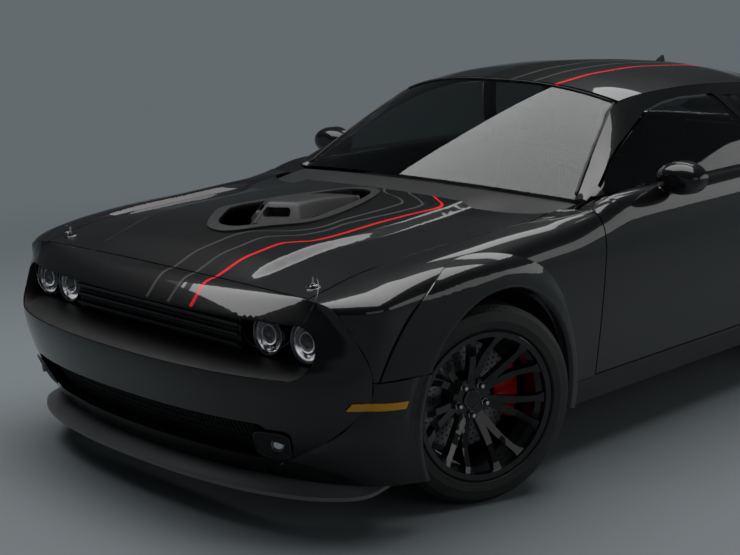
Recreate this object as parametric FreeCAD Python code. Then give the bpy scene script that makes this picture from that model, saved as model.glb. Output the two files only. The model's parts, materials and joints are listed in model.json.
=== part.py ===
import FreeCAD, Part
import math
import os
from FreeCAD import Vector

# A two-door muscle car with wide arches, in millimetres. It faces -Y, its left side is +X and
# the ground is Z = 0. The front wheels stand turned towards the car's right.

# Running gear
wheelbase = 2950.0
front_axle_y = -1560.0
rear_axle_y = front_axle_y + wheelbase
wheel_track = 1690.0
tyre_radius = 361.0
tyre_width = 305.0
bead_radius = 254.0
flange_height = 14.0
rim_half_width = 148.0
barrel_wall = 7.0
barrel_radius = 238.0
hub_face_setback = 104.0
hub_pad = 40.0
hub_radius = 76.0
spoke_pairs = 7
lug_circle_radius = 57.0
lug_count = 5
disc_radius = 195.0
disc_thickness = 32.0
disc_behind_pad = 18.0
disc_hat_radius = 84.0
spindle_radius = 30.0
running_fit = 0.05
pin_radius = 14.0
parked_steer_deg = 19.0
kingpin_inboard = 70.0

# Arches
arch_centre_drop = 8.0
arch_radius = 402.0
flare_sheet = 5.0
flare_foot_reach = 458.0
liner_radius = 440.0
liner_sheet = 5.0
front_liner_x = 918.0
rear_liner_x = 900.0
wheelhouse_inner_x = 498.0

# Body lengths and joints between panels
hood_front_y = -2258.0
door_front_y = -912.0
door_rear_y = 560.0
deck_front_y = 1578.0
deck_rear_y = 2405.0
tail_seam_y = 2235.0
nose_y = -2495.0
tail_y = 2506.0
panel_gap = 5.5
door_gap = 7.0
skin = 5.0
door_wall = 92.0
quarter_wall = 46.0
pillar_wall = 38.0
roof_wall = 22.0
glass = 5.0

seat_gap = 0.3

# Heights along the bottom
rocker_z = 318.0
sill_z = 212.0
floor_z = 205.0
floor_sheet = 18.0
tunnel_top_z = 390.0
firewall_y = -1085.0
floor_rear_y = 980.0

# Nose
nose_foot_z = 180.0
header_share = 0.8
seam_low_z = 548.0
lamp_slot_half = 822.0
lamp_slot_top = 728.0
lamp_slot_foot = 557.0
slot_wall = 7.0
slot_back_y = -2213.0
ledge_back_z = 600.0
intake_top_half = 700.0
intake_foot_half = 590.0
intake_top = 394.0
intake_foot = 252.0
grille_half = 462.0
grille_y = -2300.0
grille_sheet = 8.0
lamp_radius = 75.0
lamp_z = 662.0
lamp_places = ((569.0, -2275.0), (736.0, -2262.0))
radiator_panel_y = -2180.0
radiator_panel_z = 742.0
splitter_half = 900.0
splitter_reach = 360.0
splitter_power = 2.3
splitter_edge_z = 150.0
splitter_sheet = 13.0

# Hood pins, and the scoop that stands on the engine and comes up through the hood
hood_sheet = 14.0
hood_band = 22.0
hood_band_run = 170.0
hood_pin_x = 688.0
hood_pin_y = -2182.0
hood_pin_hole = 12.0
hood_pin_radius = 5.0
bezel_band = 46.0
scoop_foot_z = 820.0

# Doors, mirrors and tail
door_window_rear_y = 606.0
door_inner_taper = 18.0
pillar_foot_x = 812.0
mirror_x = 985.0
mirror_y = -440.0
mirror_z = 1045.0
deck_half_width = 668.0
deck_sheet = 22.0
tail_foot_z = 262.0
tail_top_z = 1066.0
lamp_band_half = 800.0
lamp_band_foot = 830.0
lamp_band_top = 950.0
trunk_floor_z = 505.0
exhaust_x = 560.0
exhaust_z = 305.0
exhaust_radius = 52.0
pivot_half_height = 158.0
crossmember_top_z = 290.0
tower_half = 40.0
shaft_radius = 26.0


def along(*keys):
    # A smooth line through a few (place, value) pairs, level beyond both ends.
    places = [k[0] for k in keys]
    values = [k[1] for k in keys]
    last = len(keys) - 1
    rises = [(values[i + 1] - values[i]) / (places[i + 1] - places[i]) for i in range(last)]
    slopes = [rises[0]]
    for i in range(1, last):
        before, after = rises[i - 1], rises[i]
        slopes.append(0.0 if before * after <= 0 else 2.0 * before * after / (before + after))
    slopes.append(rises[-1])

    def value(place):
        if place <= places[0]:
            return values[0]
        if place >= places[last]:
            return values[last]
        i = 0
        while place > places[i + 1]:
            i += 1
        span = places[i + 1] - places[i]
        t = (place - places[i]) / span
        start = values[i] * (1 + 2 * t) * (1 - t) ** 2 + values[i + 1] * t * t * (3 - 2 * t)
        return start + span * (slopes[i] * t * (1 - t) ** 2 + slopes[i + 1] * t * t * (t - 1))
    return value


def mix(a, b, t):
    return a + (b - a) * t


def ease(low, high, value):
    t = min(1.0, max(0.0, (value - low) / (high - low)))
    return t * t * (3 - 2 * t)


def hinge_bend(distance, softness=10.0):
    # Zero on one side of a crease and the distance on the other, rounded between.
    return 0.5 * (distance + math.sqrt(distance * distance + softness * softness))


def rounding(ratio, power):
    # The far side of a superellipse, for a ratio of 0 to 1 along the near side.
    return max(0.0, 1.0 - min(1.0, abs(ratio)) ** power) ** (1.0 / power)


# Lines of the body, each along the car's length
waist_x = along((-2300, 952), (-2050, 962), (-1560, 967), (-900, 967), (600, 968), (1390, 976),
                (1900, 970), (2500, 950))
crease_z = along((-2300, 770), (-1330, 808), (-957, 820), (94, 844), (1400, 872), (2450, 884))
hood_edge_x = along((-2262, 741), (-1000, 772))
hood_edge_z = along((-2262, 803), (-1980, 862), (-1622, 888), (-1290, 906), (-1080, 934),
                    (-1000, 952))
hood_centre_z = along((-2262, 810), (-2100, 858), (-1893, 904), (-1500, 932), (-1130, 958))
hood_ridge_x = along((-2262, 432), (-1700, 500), (-1150, 462))
crest_x = along((-2262, 762), (-1500, 775), (-1150, 800), (-905, 872), (600, 872), (1100, 868),
                (1600, 860), (2450, 850))
crest_z = along((-2262, 800), (-2126, 836), (-1985, 868), (-1790, 893), (-1520, 911),
                (-1295, 927), (-1080, 940), (-980, 948), (-905, 958), (-823, 981), (-740, 999),
                (0, 1020), (600, 1036), (1050, 1064), (1400, 1082), (2450, 1074))
roof_centre_z = along((-390, 1394), (-100, 1434), (250, 1450), (700, 1440), (1060, 1406))
frame_top_x = along((-848, 781), (-313, 598), (250, 624), (700, 614), (1060, 574), (1572, 648))
frame_top_z = along((-848, 970), (-600, 1140), (-313, 1316), (-100, 1348), (250, 1364),
                    (700, 1354), (1060, 1322), (1572, 1104))
glass_top_z = along((-770, 1012), (-400, 1196), (-150, 1292), (100, 1322), (629, 1324),
                    (800, 1300), (1010, 1215))

# Plan of the nose and tail at each height: how far forward the middle lies, how square the
# corner is, and where the flank begins
nose_middle_y = along((180, -2350), (250, -2388), (400, -2462), (555, nose_y), (640, -2462),
                      (733, -2404))
nose_flank_y = along((180, -1990), (400, -2060), (555, -2080), (800, -2080))
nose_power = along((180, 2.1), (400, 2.3), (733, 2.4))
tail_middle_y = along((240, 2440), (420, 2490), (600, tail_y), (800, 2470), (1000, 2450),
                      (1120, 2425))
tail_flank_y = 2080.0
tail_power = 3.2
roof_round_power = 2.6
roof_round_drop = 84.0


def nose_factor(y, z):
    flank = nose_flank_y(z)
    return rounding((flank - y) / (flank - nose_middle_y(z)), nose_power(z)) if y < flank else 1.0


def tail_factor(y, z):
    if y <= tail_flank_y:
        return 1.0
    return rounding((y - tail_flank_y) / (tail_middle_y(z) - tail_flank_y), tail_power)


def flank_x(y, z):
    # Half width of the flank: a crease, a slight lean in below it and a tuck at the sill.
    over = z - crease_z(y)
    above = hinge_bend(over)
    below = hinge_bend(-over)
    width = waist_x(y) - 0.12 * above - 0.022 * below - 0.00008 * below * below
    return width * nose_factor(y, z) * tail_factor(y, z)


def section(y, s, inner_x, inner_z, bottom_z):
    # One cross-section of the body side. s runs 0 to 1 over the flat top, 1 to 2 round the
    # shoulder and 2 to 3 down the flank.
    top_z = crest_z(y)
    turn_z = crease_z(y) - 6.0
    turn_x = flank_x(y, turn_z)
    lip_x = min(crest_x(y), turn_x - 60.0)
    if s <= 1.0:
        return Vector(mix(inner_x, lip_x, s), y, mix(inner_z, top_z, s))
    if s <= 2.0:
        angle = (s - 1.0) * math.pi / 2
        across = math.sin(angle) ** 0.84
        up = math.cos(angle) ** 0.84
        lean = 0.10 * (top_z - turn_z) * up * (1 - up)
        return Vector(mix(lip_x, turn_x, across) - lean, y, mix(turn_z, top_z, up))
    z = mix(turn_z, bottom_z, s - 2.0)
    return Vector(flank_x(y, z), y, z)


# Solids from curved sheets
def mean_parameters(lines):
    # Common parameters for lines of as many points each, from their mean chord lengths.
    totals = [0.0] * len(lines[0])
    for line in lines:
        run = 0.0
        for i in range(1, len(line)):
            run += (line[i] - line[i - 1]).Length
            totals[i] += run
    return [total / totals[-1] for total in totals]


def curve_through(points, parameters):
    curve = Part.BSplineCurve()
    curve.interpolate(Points=points, Parameters=parameters)
    return curve


def face_through(grid):
    # A smooth surface through a grid of points, shaped first along its rows and then across.
    columns = [list(column) for column in zip(*grid)]
    along_rows = mean_parameters(grid)
    along_columns = mean_parameters(columns)
    rows = [curve_through(row, along_rows) for row in grid]
    crossings = list(zip(*[row.getPoles() for row in rows]))
    across = [curve_through(list(poles), along_columns) for poles in crossings]
    poles = [list(line) for line in zip(*[curve.getPoles() for curve in across])]
    surface = Part.BSplineSurface()
    surface.buildFromPolesMultsKnots(
        poles, across[0].getMultiplicities(), rows[0].getMultiplicities(),
        across[0].getKnots(), rows[0].getKnots(), False, False, across[0].Degree, rows[0].Degree)
    return surface


def closed_between(outer, inner):
    # A solid between two sheets of points, closed round their edges.
    top = face_through(outer)
    under = face_through(inner)
    u0, u1, v0, v1 = top.bounds()
    a0, a1, b0, b1 = under.bounds()
    pairs = [(top.uIso(u0), under.uIso(a0)), (top.uIso(u1), under.uIso(a1)),
             (top.vIso(v0), under.vIso(b0)), (top.vIso(v1), under.vIso(b1))]
    faces = [top.toShape(), under.toShape()]
    faces += [Part.makeRuledSurface(a.toShape(), b.toShape()) for a, b in pairs]
    shell = Part.makeShell(faces)
    shell.sewShape()
    solid = Part.makeSolid(shell)
    if solid.Volume < 0:
        solid.reverse()
    return solid


def offset_grid(place, us, vs, distance, inside):
    # The points of a sheet moved along its normals, towards the point inside.
    step = 0.004

    def normal(u, v):
        du = place(min(u + step, us[-1]), v) - place(max(u - step, us[0]), v)
        dv = place(u, min(v + step, vs[-1])) - place(u, max(v - step, vs[0]))
        across = du.cross(dv)
        across.normalize()
        return across
    middle_u, middle_v = us[len(us) // 2], vs[len(vs) // 2]
    inward = inside - place(middle_u, middle_v)
    sign = 1.0 if normal(middle_u, middle_v).dot(inward) > 0 else -1.0
    return [[place(u, v) + normal(u, v) * (sign * distance) for v in vs] for u in us]


def sheet(place, us, vs, thick, inside=None, shift=None):
    # A panel of one thickness: place(u, v) is its outer face. Its inner face lies along the
    # normal, towards the point inside, or moved by shift.
    outer = [[place(u, v) for v in vs] for u in us]
    if shift is not None:
        return closed_between(outer, [[p + shift for p in row] for row in outer])
    return closed_between(outer, offset_grid(place, us, vs, thick, inside))


def steps(count, start=0.0, end=1.0):
    return [mix(start, end, i / (count - 1.0)) for i in range(count)]


def box(x0, x1, y0, y1, z0, z1):
    return Part.makeBox(x1 - x0, y1 - y0, z1 - z0, Vector(x0, y0, z0))


def bar(x0, x1, y, z, radius):
    return Part.makeCylinder(radius, x1 - x0, Vector(x0, y, z), Vector(1, 0, 0))


def rod(start, end, radius):
    return Part.makeCylinder(radius, (end - start).Length, start, end - start)


def prism_x(outline, x0, x1):
    # A solid with an outline of (y, z) points, from x0 to x1.
    points = [Vector(x0, y, z) for y, z in outline]
    return Part.Face(Part.makePolygon(points + points[:1])).extrude(Vector(x1 - x0, 0, 0))


def prism_y(outline, y0, y1):
    # A solid with an outline of (x, z) points, from y0 to y1.
    points = [Vector(x, y0, z) for x, z in outline]
    return Part.Face(Part.makePolygon(points + points[:1])).extrude(Vector(0, y1 - y0, 0))


def prism_z(outline, y, z0, z1):
    # A solid with an outline of (x, y) points about the line y, from z0 to z1.
    points = [Vector(a, y + b, z0) for a, b in outline]
    return Part.Face(Part.makePolygon(points + points[:1])).extrude(Vector(0, 0, z1 - z0))


def spun(profile):
    # A ring with a profile of (x, radius) points, turned about the X axis.
    points = [Vector(x, 0, radius) for x, radius in profile]
    face = Part.Face(Part.makePolygon(points + points[:1]))
    return face.revolve(Vector(0, 0, 0), Vector(1, 0, 0), 360)


def rounded(solid, radius, chosen):
    edges = [e for e in solid.Edges if chosen(e)]
    return solid.makeFillet(radius, edges) if edges else solid


def mirrored(shape):
    return shape.mirror(Vector(0, 0, 0), Vector(1, 0, 0))


def largest(shape):
    return max(shape.Solids, key=lambda solid: solid.Volume)


def both_sides(shape):
    return Part.makeCompound([shape, mirrored(shape)])


def save(name, shape):
    shape.exportStep("parts/" + name + ".step")


# Front sheet metal
def hood_skin(x, y):
    # Height of the hood: crowned, with a raised middle band.
    share = min(1.0, abs(x) / hood_edge_x(y))
    crown = (hood_centre_z(y) - hood_edge_z(y)) * (1 - share ** 2.4)
    raise_from = ease(hood_front_y, hood_front_y + hood_band_run, y)
    ridge = hood_ridge_x(y)
    band = hood_band * raise_from * (1 - ease(ridge - 28, ridge + 28, abs(x)))
    return hood_edge_z(y) + crown + band


def hood_rear_y(x):
    return -1148.0 + 128.0 * (abs(x) / 772.0) ** 5


def make_hood():
    def place(u, v):
        y = mix(hood_front_y + panel_gap, hood_rear_y(u * 770), v)
        x = u * (hood_edge_x(y) - panel_gap)
        return Vector(x, y, hood_skin(x, y))
    half = [0.2, 0.36, 0.48, 0.53, 0.57, 0.61, 0.65, 0.69, 0.73, 0.79, 0.86, 0.93, 1]
    us = [-share for share in reversed(half)] + [0] + half
    hood = sheet(place, us, [0, 0.04] + steps(12, 0.1), hood_sheet, inside=Vector(0, -1600, 0))
    hood = hood.cut(plan_prism(bezel_half_plan, -bezel_band, 700, 1100))
    for side in (-1, 1):
        x, y = side * hood_pin_x, hood_pin_y
        hood = hood.cut(Part.makeCylinder(hood_pin_hole, 200, Vector(x, y, 760)))
    return hood


# Shaker scoop, which stands on the engine and comes up through the hood
scoop_half_plan = ((0, -1836), (50, -1797), (104, -1750), (124, -1712), (124, -1640), (112, -1540),
                   (90, -1430), (62, -1340), (30, -1280), (0, -1266))
bezel_half_plan = ((0, -2012), (64, -1998), (130, -1940), (190, -1868), (238, -1800), (250, -1730),
                   (238, -1640), (202, -1500), (160, -1380), (112, -1272), (54, -1200), (0, -1186))


def plan_prism(half_plan, grow, z0, z1):
    # A prism whose plan is a rounded wedge: wide and pointed in front, narrow behind.
    middle = Vector(0, -1620, 0)
    points = []
    for x, y in list(half_plan) + [(-x, y) for x, y in half_plan[-2:0:-1]]:
        out = Vector(x, y, 0) - middle
        points.append(middle + out * (1 + grow / out.Length) + Vector(0, 0, z0))
    curve = Part.BSplineCurve()
    curve.interpolate(points, PeriodicFlag=True)
    return Part.Face(Part.Wire(curve.toShape())).extrude(Vector(0, 0, z1 - z0))


def make_scoop():
    # A low wedge: its front leans back in a V with a nostril each side, its roof falls to the rear
    body = plan_prism(scoop_half_plan, 0, scoop_foot_z, scoop_foot_z + 220)
    roof = along((-1760, 990), (-1600, 990), (-1450, 984), (-1260, 962))
    half_width = along((-1760, 108), (-1700, 124), (-1640, 124), (-1540, 112), (-1430, 90),
                       (-1340, 62), (-1280, 30))

    def lid(u, v):
        x, y = u * 140, mix(-1860, -1250, v)
        front = 926 + 0.95 * (y + 1822 - 0.80 * abs(x))
        flank = 930 + 1.5 * (half_width(y) - abs(x))
        top = roof(y) - hinge_bend(roof(y) - front, 14)
        return Vector(x, y, top - hinge_bend(top - flank, 14))
    body = body.common(sheet(lid, steps(29, -1, 1), steps(41), 300, shift=Vector(0, 0, -300)))
    mouth = rounded(box(8, 112, -70, 46, 934, 968), 13,
                    lambda e: abs(e.Vertexes[0].Y - e.Vertexes[1].Y) > 1)
    mouth.rotate(Vector(0, 0, 0), Vector(0, 0, 1), 39)
    mouth.translate(Vector(4, -1798, 0))
    mouth = mouth.common(box(7, 200, -2000, -1500, 900, 1000))
    return body.cut(mouth).cut(mirrored(mouth))


def make_hood_bezel():
    outer = plan_prism(bezel_half_plan, 0, 860, 1020)
    inner = plan_prism(bezel_half_plan, -bezel_band, 800, 1100)

    def place(u, v):
        y = mix(-2030, -1170, v)
        x = u * 262
        return Vector(x, y, hood_skin(x, y) + 8)
    band = sheet(place, steps(15, -1, 1), steps(15), 7.7, shift=Vector(0, 0, -7.7))
    return band.common(outer).cut(inner)


def seam_y(z):
    # Joint between the nose cover and the fender, seen from the side.
    return along((296, -2287), (378, -2233), (458, -2188), (490, -2165), (554, -2165),
                 (666, -2205), (745, -2238), (800, hood_front_y))(z)


def make_fender(cover):
    bottom = rocker_z + seat_gap

    def place(u, s):
        guess = section(hood_front_y if u < 0.5 else door_front_y, s, 0, 0, bottom).z
        front = seam_y(guess) + 1.0 if s > 1 else hood_front_y + 1.0
        rear = door_front_y - door_gap / 2
        y = mix(front, rear, u)
        return section(y, s, hood_edge_x(y), hood_edge_z(y), bottom)
    rows = [0, 0.5, 1.0, 1.15, 1.3, 1.45, 1.6, 1.75, 1.88, 1.96, 2.0, 2.03, 2.08, 2.2, 2.4, 2.6,
            2.8, 3.0]
    columns = steps(22)
    solid = sheet(place, columns, rows, skin, inside=Vector(300, -1600, 400))
    arch = bar(600, 1200, front_axle_y, tyre_radius - arch_centre_drop, arch_radius + 18)
    ahead = box(600, 1200, -2500, front_axle_y - 300, 0, seam_low_z)
    return largest(solid.cut(arch).cut(ahead).cut(cover))


def header_edge(share):
    # Top edge of the nose cover: along the hood, then out and down along the fender's front.
    inner_x, inner_z = hood_edge_x(hood_front_y), hood_edge_z(hood_front_y)
    if share <= header_share:
        x = crest_x(hood_front_y) * share / header_share
        step = (inner_z - crest_z(hood_front_y)) * ease(inner_x, crest_x(hood_front_y), x)
        return Vector(x, hood_front_y, hood_skin(x, hood_front_y) - step)
    s = mix(1.0, 2.15, (share - header_share) / (1 - header_share))
    guess = section(hood_front_y, s, inner_x, inner_z, rocker_z)
    return section(seam_y(guess.z), s, inner_x, inner_z, rocker_z)


def nose_shape(share, row):
    # One line of the nose at a level row of its plan curves, up to the lamps' lip at 1.
    if row <= 2.0:
        middle_z = mix(733, 555, row - 1)
        edge_z = mix(655, 548, row - 1)
    else:
        middle_z = mix(555, nose_foot_z, row - 2)
        edge_z = mix(548, nose_foot_z, row - 2)
    power = nose_power(middle_z)
    flank = nose_flank_y(middle_z)
    depth = flank - nose_middle_y(middle_z)
    end_ratio = min(0.98, max(0.02, (flank - seam_y(edge_z)) / depth))
    angle = share * math.acos(end_ratio ** (power / 2))
    y = flank - depth * math.cos(angle) ** (2 / power)
    width = math.sin(angle) ** (2 / power)
    z = middle_z - (middle_z - edge_z) * width ** 10
    below = hinge_bend(crease_z(flank) - z)
    side = waist_x(flank) - 0.022 * below - 0.00008 * below ** 2
    return Vector(side * width, y, z)


def seam_point(z):
    # Front edge of the fender's flank at a height.
    return Vector(flank_x(seam_y(z), z), seam_y(z), z)


def nose_line(share, row):
    if row >= 1.0:
        return nose_shape(share, row)
    top = header_edge(share)
    lip = nose_shape(share, 1.0)
    flat = ease(0.6, 0.92, share)
    return Vector(mix(top.x, lip.x, row), mix(top.y, lip.y, row ** mix(0.72, 1.0, flat)),
                  mix(top.z, lip.z, row ** mix(1.5, 1.0, flat)))


def nose_point(share, row):
    # A point of the nose cover. row runs from 0 at the hood, 1 at the lip over the lamps, to 2
    # at the crease below them and 3 at the foot; share runs from the middle to the fender.
    end = nose_line(1.0, row)
    return nose_line(share, row) + (seam_point(end.z) - end) * share ** 8


def slot_outline(half, foot, top, corner, y0, y1):
    shape = box(-half, half, y0, y1, foot, top)
    return rounded(shape, corner, lambda e: abs(e.Vertexes[0].Y - e.Vertexes[1].Y) > 1)


def nose_place(u, row):
    point = nose_point(abs(u), row)
    return Vector(math.copysign(point.x, u), point.y, point.z) if u else point


nose_rows = [0, 0.2, 0.45, 0.7, 0.87, 1.0, 1.3, 1.65, 1.9, 2.0, 2.15, 2.35, 2.6, 2.8, 3.0]
nose_shares = [0, 0.1, 0.22, 0.35, 0.48, 0.6, 0.7, 0.76, 0.8, 0.825, 0.85, 0.88, 0.91, 0.94,
               0.97, 1.0]
nose_us = [-share for share in reversed(nose_shares[1:])] + nose_shares
nose_inside = Vector(0, -1800, 450)


def nose_room():
    # The room behind the nose cover, back to the front wheels.
    inner = offset_grid(nose_place, nose_us, nose_rows, skin, nose_inside)
    back = [[Vector(p.x, -2080, p.z) for p in row] for row in inner]
    return closed_between(inner, back)


def intake_prism(grow, y0, y1):
    outline = [(-intake_foot_half - grow, intake_foot - grow),
               (intake_foot_half + grow, intake_foot - grow),
               (intake_top_half + grow, intake_top + grow), (-intake_top_half - grow, intake_top + grow)]
    return rounded(prism_y(outline, y0, y1), 40, lambda e: abs(e.Vertexes[0].Y - e.Vertexes[1].Y) > 1)


def make_front_fascia():
    cover = sheet(nose_place, nose_us, nose_rows, skin, inside=nose_inside)
    slot = slot_outline(lamp_slot_half, lamp_slot_foot, lamp_slot_top, 80, -2600, -2210)
    return cover.cut(slot).cut(intake_prism(0, -2600, -2150))


def make_slot_surround():
    # Walls and back of the lamp slot, its sloping ledge, and the walls of the lower intake
    room = nose_room()
    outer = slot_outline(lamp_slot_half + slot_wall, lamp_slot_foot - slot_wall,
                         lamp_slot_top + slot_wall, 84, -2600, slot_back_y + slot_wall)
    inner = slot_outline(lamp_slot_half, lamp_slot_foot, lamp_slot_top, 80, -2700, slot_back_y)

    def ledge_place(u, v):
        front = nose_place(u * 0.97, 1.985) + Vector(0, 2, 0)
        return front + (Vector(front.x, slot_back_y + 2, ledge_back_z) - front) * v
    ledge = sheet(ledge_place, nose_us, steps(4), 24, shift=Vector(0, 0, -24))
    surround = outer.cut(inner).fuse(ledge.common(outer)).common(room)
    for x, y in lamp_places:
        for side in (-1, 1):
            surround = surround.cut(Part.makeCylinder(lamp_radius + seat_gap, 200,
                                                      Vector(side * x, slot_back_y, lamp_z), Vector(0, -1, 0)))
    duct = intake_prism(slot_wall, -2600, -2160).cut(intake_prism(0, -2700, -2100)).common(room)
    return Part.makeCompound([surround, duct])


def nose_y_at(x, z):
    # Where the nose lies at a place across the car and a height.
    flank = nose_flank_y(z)
    side = waist_x(flank)
    return flank - (flank - nose_middle_y(z)) * rounding(x / side, nose_power(z))


def make_grilles():
    # Upper grille: a mesh plate behind four bars, across the lamp slot between the lamps
    foot = mix(lamp_slot_foot, ledge_back_z, 0.72) + 8
    top = lamp_slot_top - seat_gap
    upper = box(-grille_half, grille_half, grille_y, grille_y + grille_sheet, foot, top)
    for i in range(4):
        z = foot + 16 + i * 34
        upper = upper.fuse(box(-grille_half, grille_half, grille_y - 16, grille_y + 1, z, z + 9))
    for side in (-1, 1):
        x = side * grille_half
        cheek = box(min(x, x - side * 8), max(x, x - side * 8), grille_y, slot_back_y - seat_gap,
                    ledge_back_z + 4, top)
        upper = upper.fuse(cheek)

    # Lower grille: slats and ribs that follow the nose, set back in the intake
    def slat(z0, z1, back, thick):
        def place(u, v):
            z = mix(z0, z1, v)
            x = u * 720
            return Vector(x, nose_y_at(x, z) + back, z)
        return sheet(place, steps(13, -1, 1), steps(3), thick, shift=Vector(0, thick, 0))
    lower = slat(intake_foot - 8, intake_top + 8, 78, grille_sheet)
    for i in range(5):
        z = mix(intake_foot, intake_top, (i + 1) / 6.0)
        lower = lower.fuse(slat(z - 3, z + 3, 62, 18))
    lower = lower.common(intake_prism(-seat_gap, -2600, -2100))
    return Part.makeCompound([upper, lower])


def make_lamps():
    lamps = []
    for x, y in lamp_places:
        depth = slot_back_y - seat_gap - y
        outline = [(0, 0), (lamp_radius - 14, 0), (lamp_radius, 14), (lamp_radius, depth - 8),
                   (lamp_radius - 5, depth), (lamp_radius - 12, depth - 3), (lamp_radius - 18, depth - 22),
                   (46, depth - 34), (40, depth - 16), (32, depth - 12), (0, depth - 9)]
        points = [Vector(r, 0, d) for r, d in outline]
        face = Part.Face(Part.makePolygon(points + points[:1]))
        cup = face.revolve(Vector(0, 0, 0), Vector(0, 0, 1), 360)
        cup.rotate(Vector(0, 0, 0), Vector(1, 0, 0), 90)
        cup.translate(Vector(x, slot_back_y - seat_gap, lamp_z))
        lamps.append(cup)
    return both_sides(Part.makeCompound(lamps))


def make_splitter():
    # A blade under the nose: it slopes down to its edge, and its ends kick up
    def place(u, v):
        side = abs(u)
        angle = min(1.0, side / 0.9) * math.pi / 2
        half = mix(splitter_half, 640, v)
        reach = mix(splitter_reach, 225, v)
        x = half * math.sin(angle) ** (2 / splitter_power)
        y = mix(-2060, -2020, v) - reach * max(0.0, math.cos(angle)) ** (2 / splitter_power)
        y += mix(75, 35, v) * max(0.0, side - 0.9) / 0.1
        kick = 0.9 * ease(0.78, 1.0, side) * (1 - v) ** 2
        z = mix(splitter_edge_z, nose_foot_z - 1.0, min(1.0, v * 3.7 + kick))
        return Vector(math.copysign(x, u) if u else 0.0, y, z)
    shares = [0, 0.1, 0.22, 0.35, 0.48, 0.6, 0.72, 0.82, 0.9, 0.95, 1.0]
    us = [-s for s in reversed(shares[1:])] + shares
    rows = [0, 0.13, 0.27, 0.35, 0.6, 1.0]
    return sheet(place, us, rows, splitter_sheet, shift=Vector(0, 0, -splitter_sheet))


# Arch flares
flare_reach = along((-14, 452), (-6, 454), (20, 482), (62, 514), (95, 537), (120, 573), (138, 597),
                    (160, 611), (185, 622), (212, 590))


def flare_point(axle_y, share, across, turn):
    # A flare follows its arch: share runs from its rear foot over the top to its front end, and
    # across from the lip inside the arch, over its face, to the edge on the body. turn is 1 at
    # the front wheels and -1 at the rear ones.
    centre_z = tyre_radius - arch_centre_drop
    if turn > 0:
        ends = along((0, arch_radius - 2), (1, arch_radius + 24), (2, arch_radius + 60),
                     (3, flare_reach(160)))
        last = 180 - math.degrees(math.asin((seam_low_z - centre_z) / ends(across)))
        angle = mix(-14, last, share)
        reach = flare_reach(angle)
    else:
        angle = mix(-8, 190, share)
        reach = flare_reach(min(95.0, 180.0 - angle))
    radii = along((0, arch_radius - 2), (1, arch_radius + 24), (2, arch_radius + 60), (3, reach))
    radius = radii(across)
    a = math.radians(angle)
    y = axle_y + radius * math.cos(a)
    z = max(sill_z + 1, centre_z + radius * math.sin(a))
    body = flank_x(y, min(z, crease_z(y) - 6))
    if z > crease_z(y) - 6:
        rise = min(0.999, (z - crease_z(y) + 6) / (crest_z(y) - crease_z(y) + 6))
        across_x = max(0.0, 1 - rise ** (1 / 0.42)) ** 0.42
        body = mix(crest_x(y), body, across_x)
    face = max(1000.0 - 10.0 * abs(math.cos(a)), body + 8)
    out = along((0, face - 30), (1, face), (2, face - 5), (3, body + flare_sheet + 1.0))
    return Vector(out(across), y, z)


def make_flare(axle_y, turn):
    acrosses = [0, 0.5, 1.0, 1.4, 2.0, 2.35, 2.7, 3.0]

    def place(u, across):
        return flare_point(axle_y, u, across, turn)
    return sheet(place, steps(17), acrosses, flare_sheet, shift=Vector(-flare_sheet, 0, 0))


def nose_end(z):
    # Where the nose cover ends at a height below its crease.
    return nose_point(1.0, 2.0 + (548.0 - z) / (548.0 - nose_foot_z))


def low_flare_point(z, across):
    # The part of the front flare below the bumper's level: across runs from the lip inside the
    # arch over its face and forward round the corner to the nose cover.
    drop = tyre_radius - arch_centre_drop - z
    lip_y = front_axle_y - math.sqrt((arch_radius - 2) ** 2 - drop * drop)
    if across <= 2.0:
        out = along((0, 968), (1, 996), (1.4, 998), (2, 990))
        back = along((0, 0), (1, 26), (2, 62))
        return Vector(out(across), lip_y - back(across), z)
    t = across - 2.0
    start = Vector(990, lip_y - 62, z)
    end = nose_end(z) + Vector(1.2, 1.2, 0)
    bend = Vector(mix(end.x, start.x, 0.86), mix(end.y, start.y, 0.30), z)
    return start * ((1 - t) ** 2) + bend * (2 * t * (1 - t)) + end * (t * t)


def make_flares(cover):
    front = make_flare(front_axle_y, 1)
    rear = make_flare(rear_axle_y, -1)

    def low_place(u, across):
        return low_flare_point(mix(nose_foot_z + 2, seam_low_z - 4, u), across)
    low = sheet(low_place, steps(9), [0, 0.5, 1.0, 1.4, 2.0, 2.2, 2.4, 2.6, 2.8, 3.0], flare_sheet,
                inside=Vector(700, -2000, 400)).cut(cover)
    return Part.makeCompound([both_sides(s) for s in (front, low, rear)])


# Cabin
def windscreen_point(u, v):
    a = abs(u)
    low = Vector(u * 771, -950 + 110 * a ** 2.2, 1000 - 32 * a * a)
    high = Vector(u * 588, -388 + 74 * a * a, 1394 - 78 * a ** roof_round_power)
    point = low + (high - low) * v
    swell = 4 * v * (1 - v) * 16
    return point + Vector(0, -0.6 * swell, 0.8 * swell)


def rear_glass_point(u, v):
    a = abs(u)
    high = Vector(u * 562, 1066 - 20 * a * a, 1404 - 80 * a ** roof_round_power)
    low = Vector(u * 636, 1566 - 40 * a * a, 1112 - 20 * a * a)
    point = high + (low - high) * v
    swell = 4 * v * (1 - v) * 14
    return point + Vector(0, 0.5 * swell, 0.86 * swell)


def make_glass(place, trim_u, trim_v0, trim_v1):
    return sheet(lambda u, v: place(u * trim_u, mix(trim_v0, trim_v1, v)),
                 steps(15, -1, 1), steps(7), glass, inside=Vector(0, 200, 600))


def roof_point(u, v):
    a = abs(u)
    y = mix(-388 + 74 * a * a + 3, 1066 - 20 * a * a - 3, v)
    x = u * (frame_top_x(y) - 3)
    return Vector(x, y, roof_centre_z(y) - roof_round_drop * a ** roof_round_power)


def make_roof():
    return sheet(roof_point, steps(15, -1, 1), steps(13), roof_wall, inside=Vector(0, 200, 600))


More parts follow.
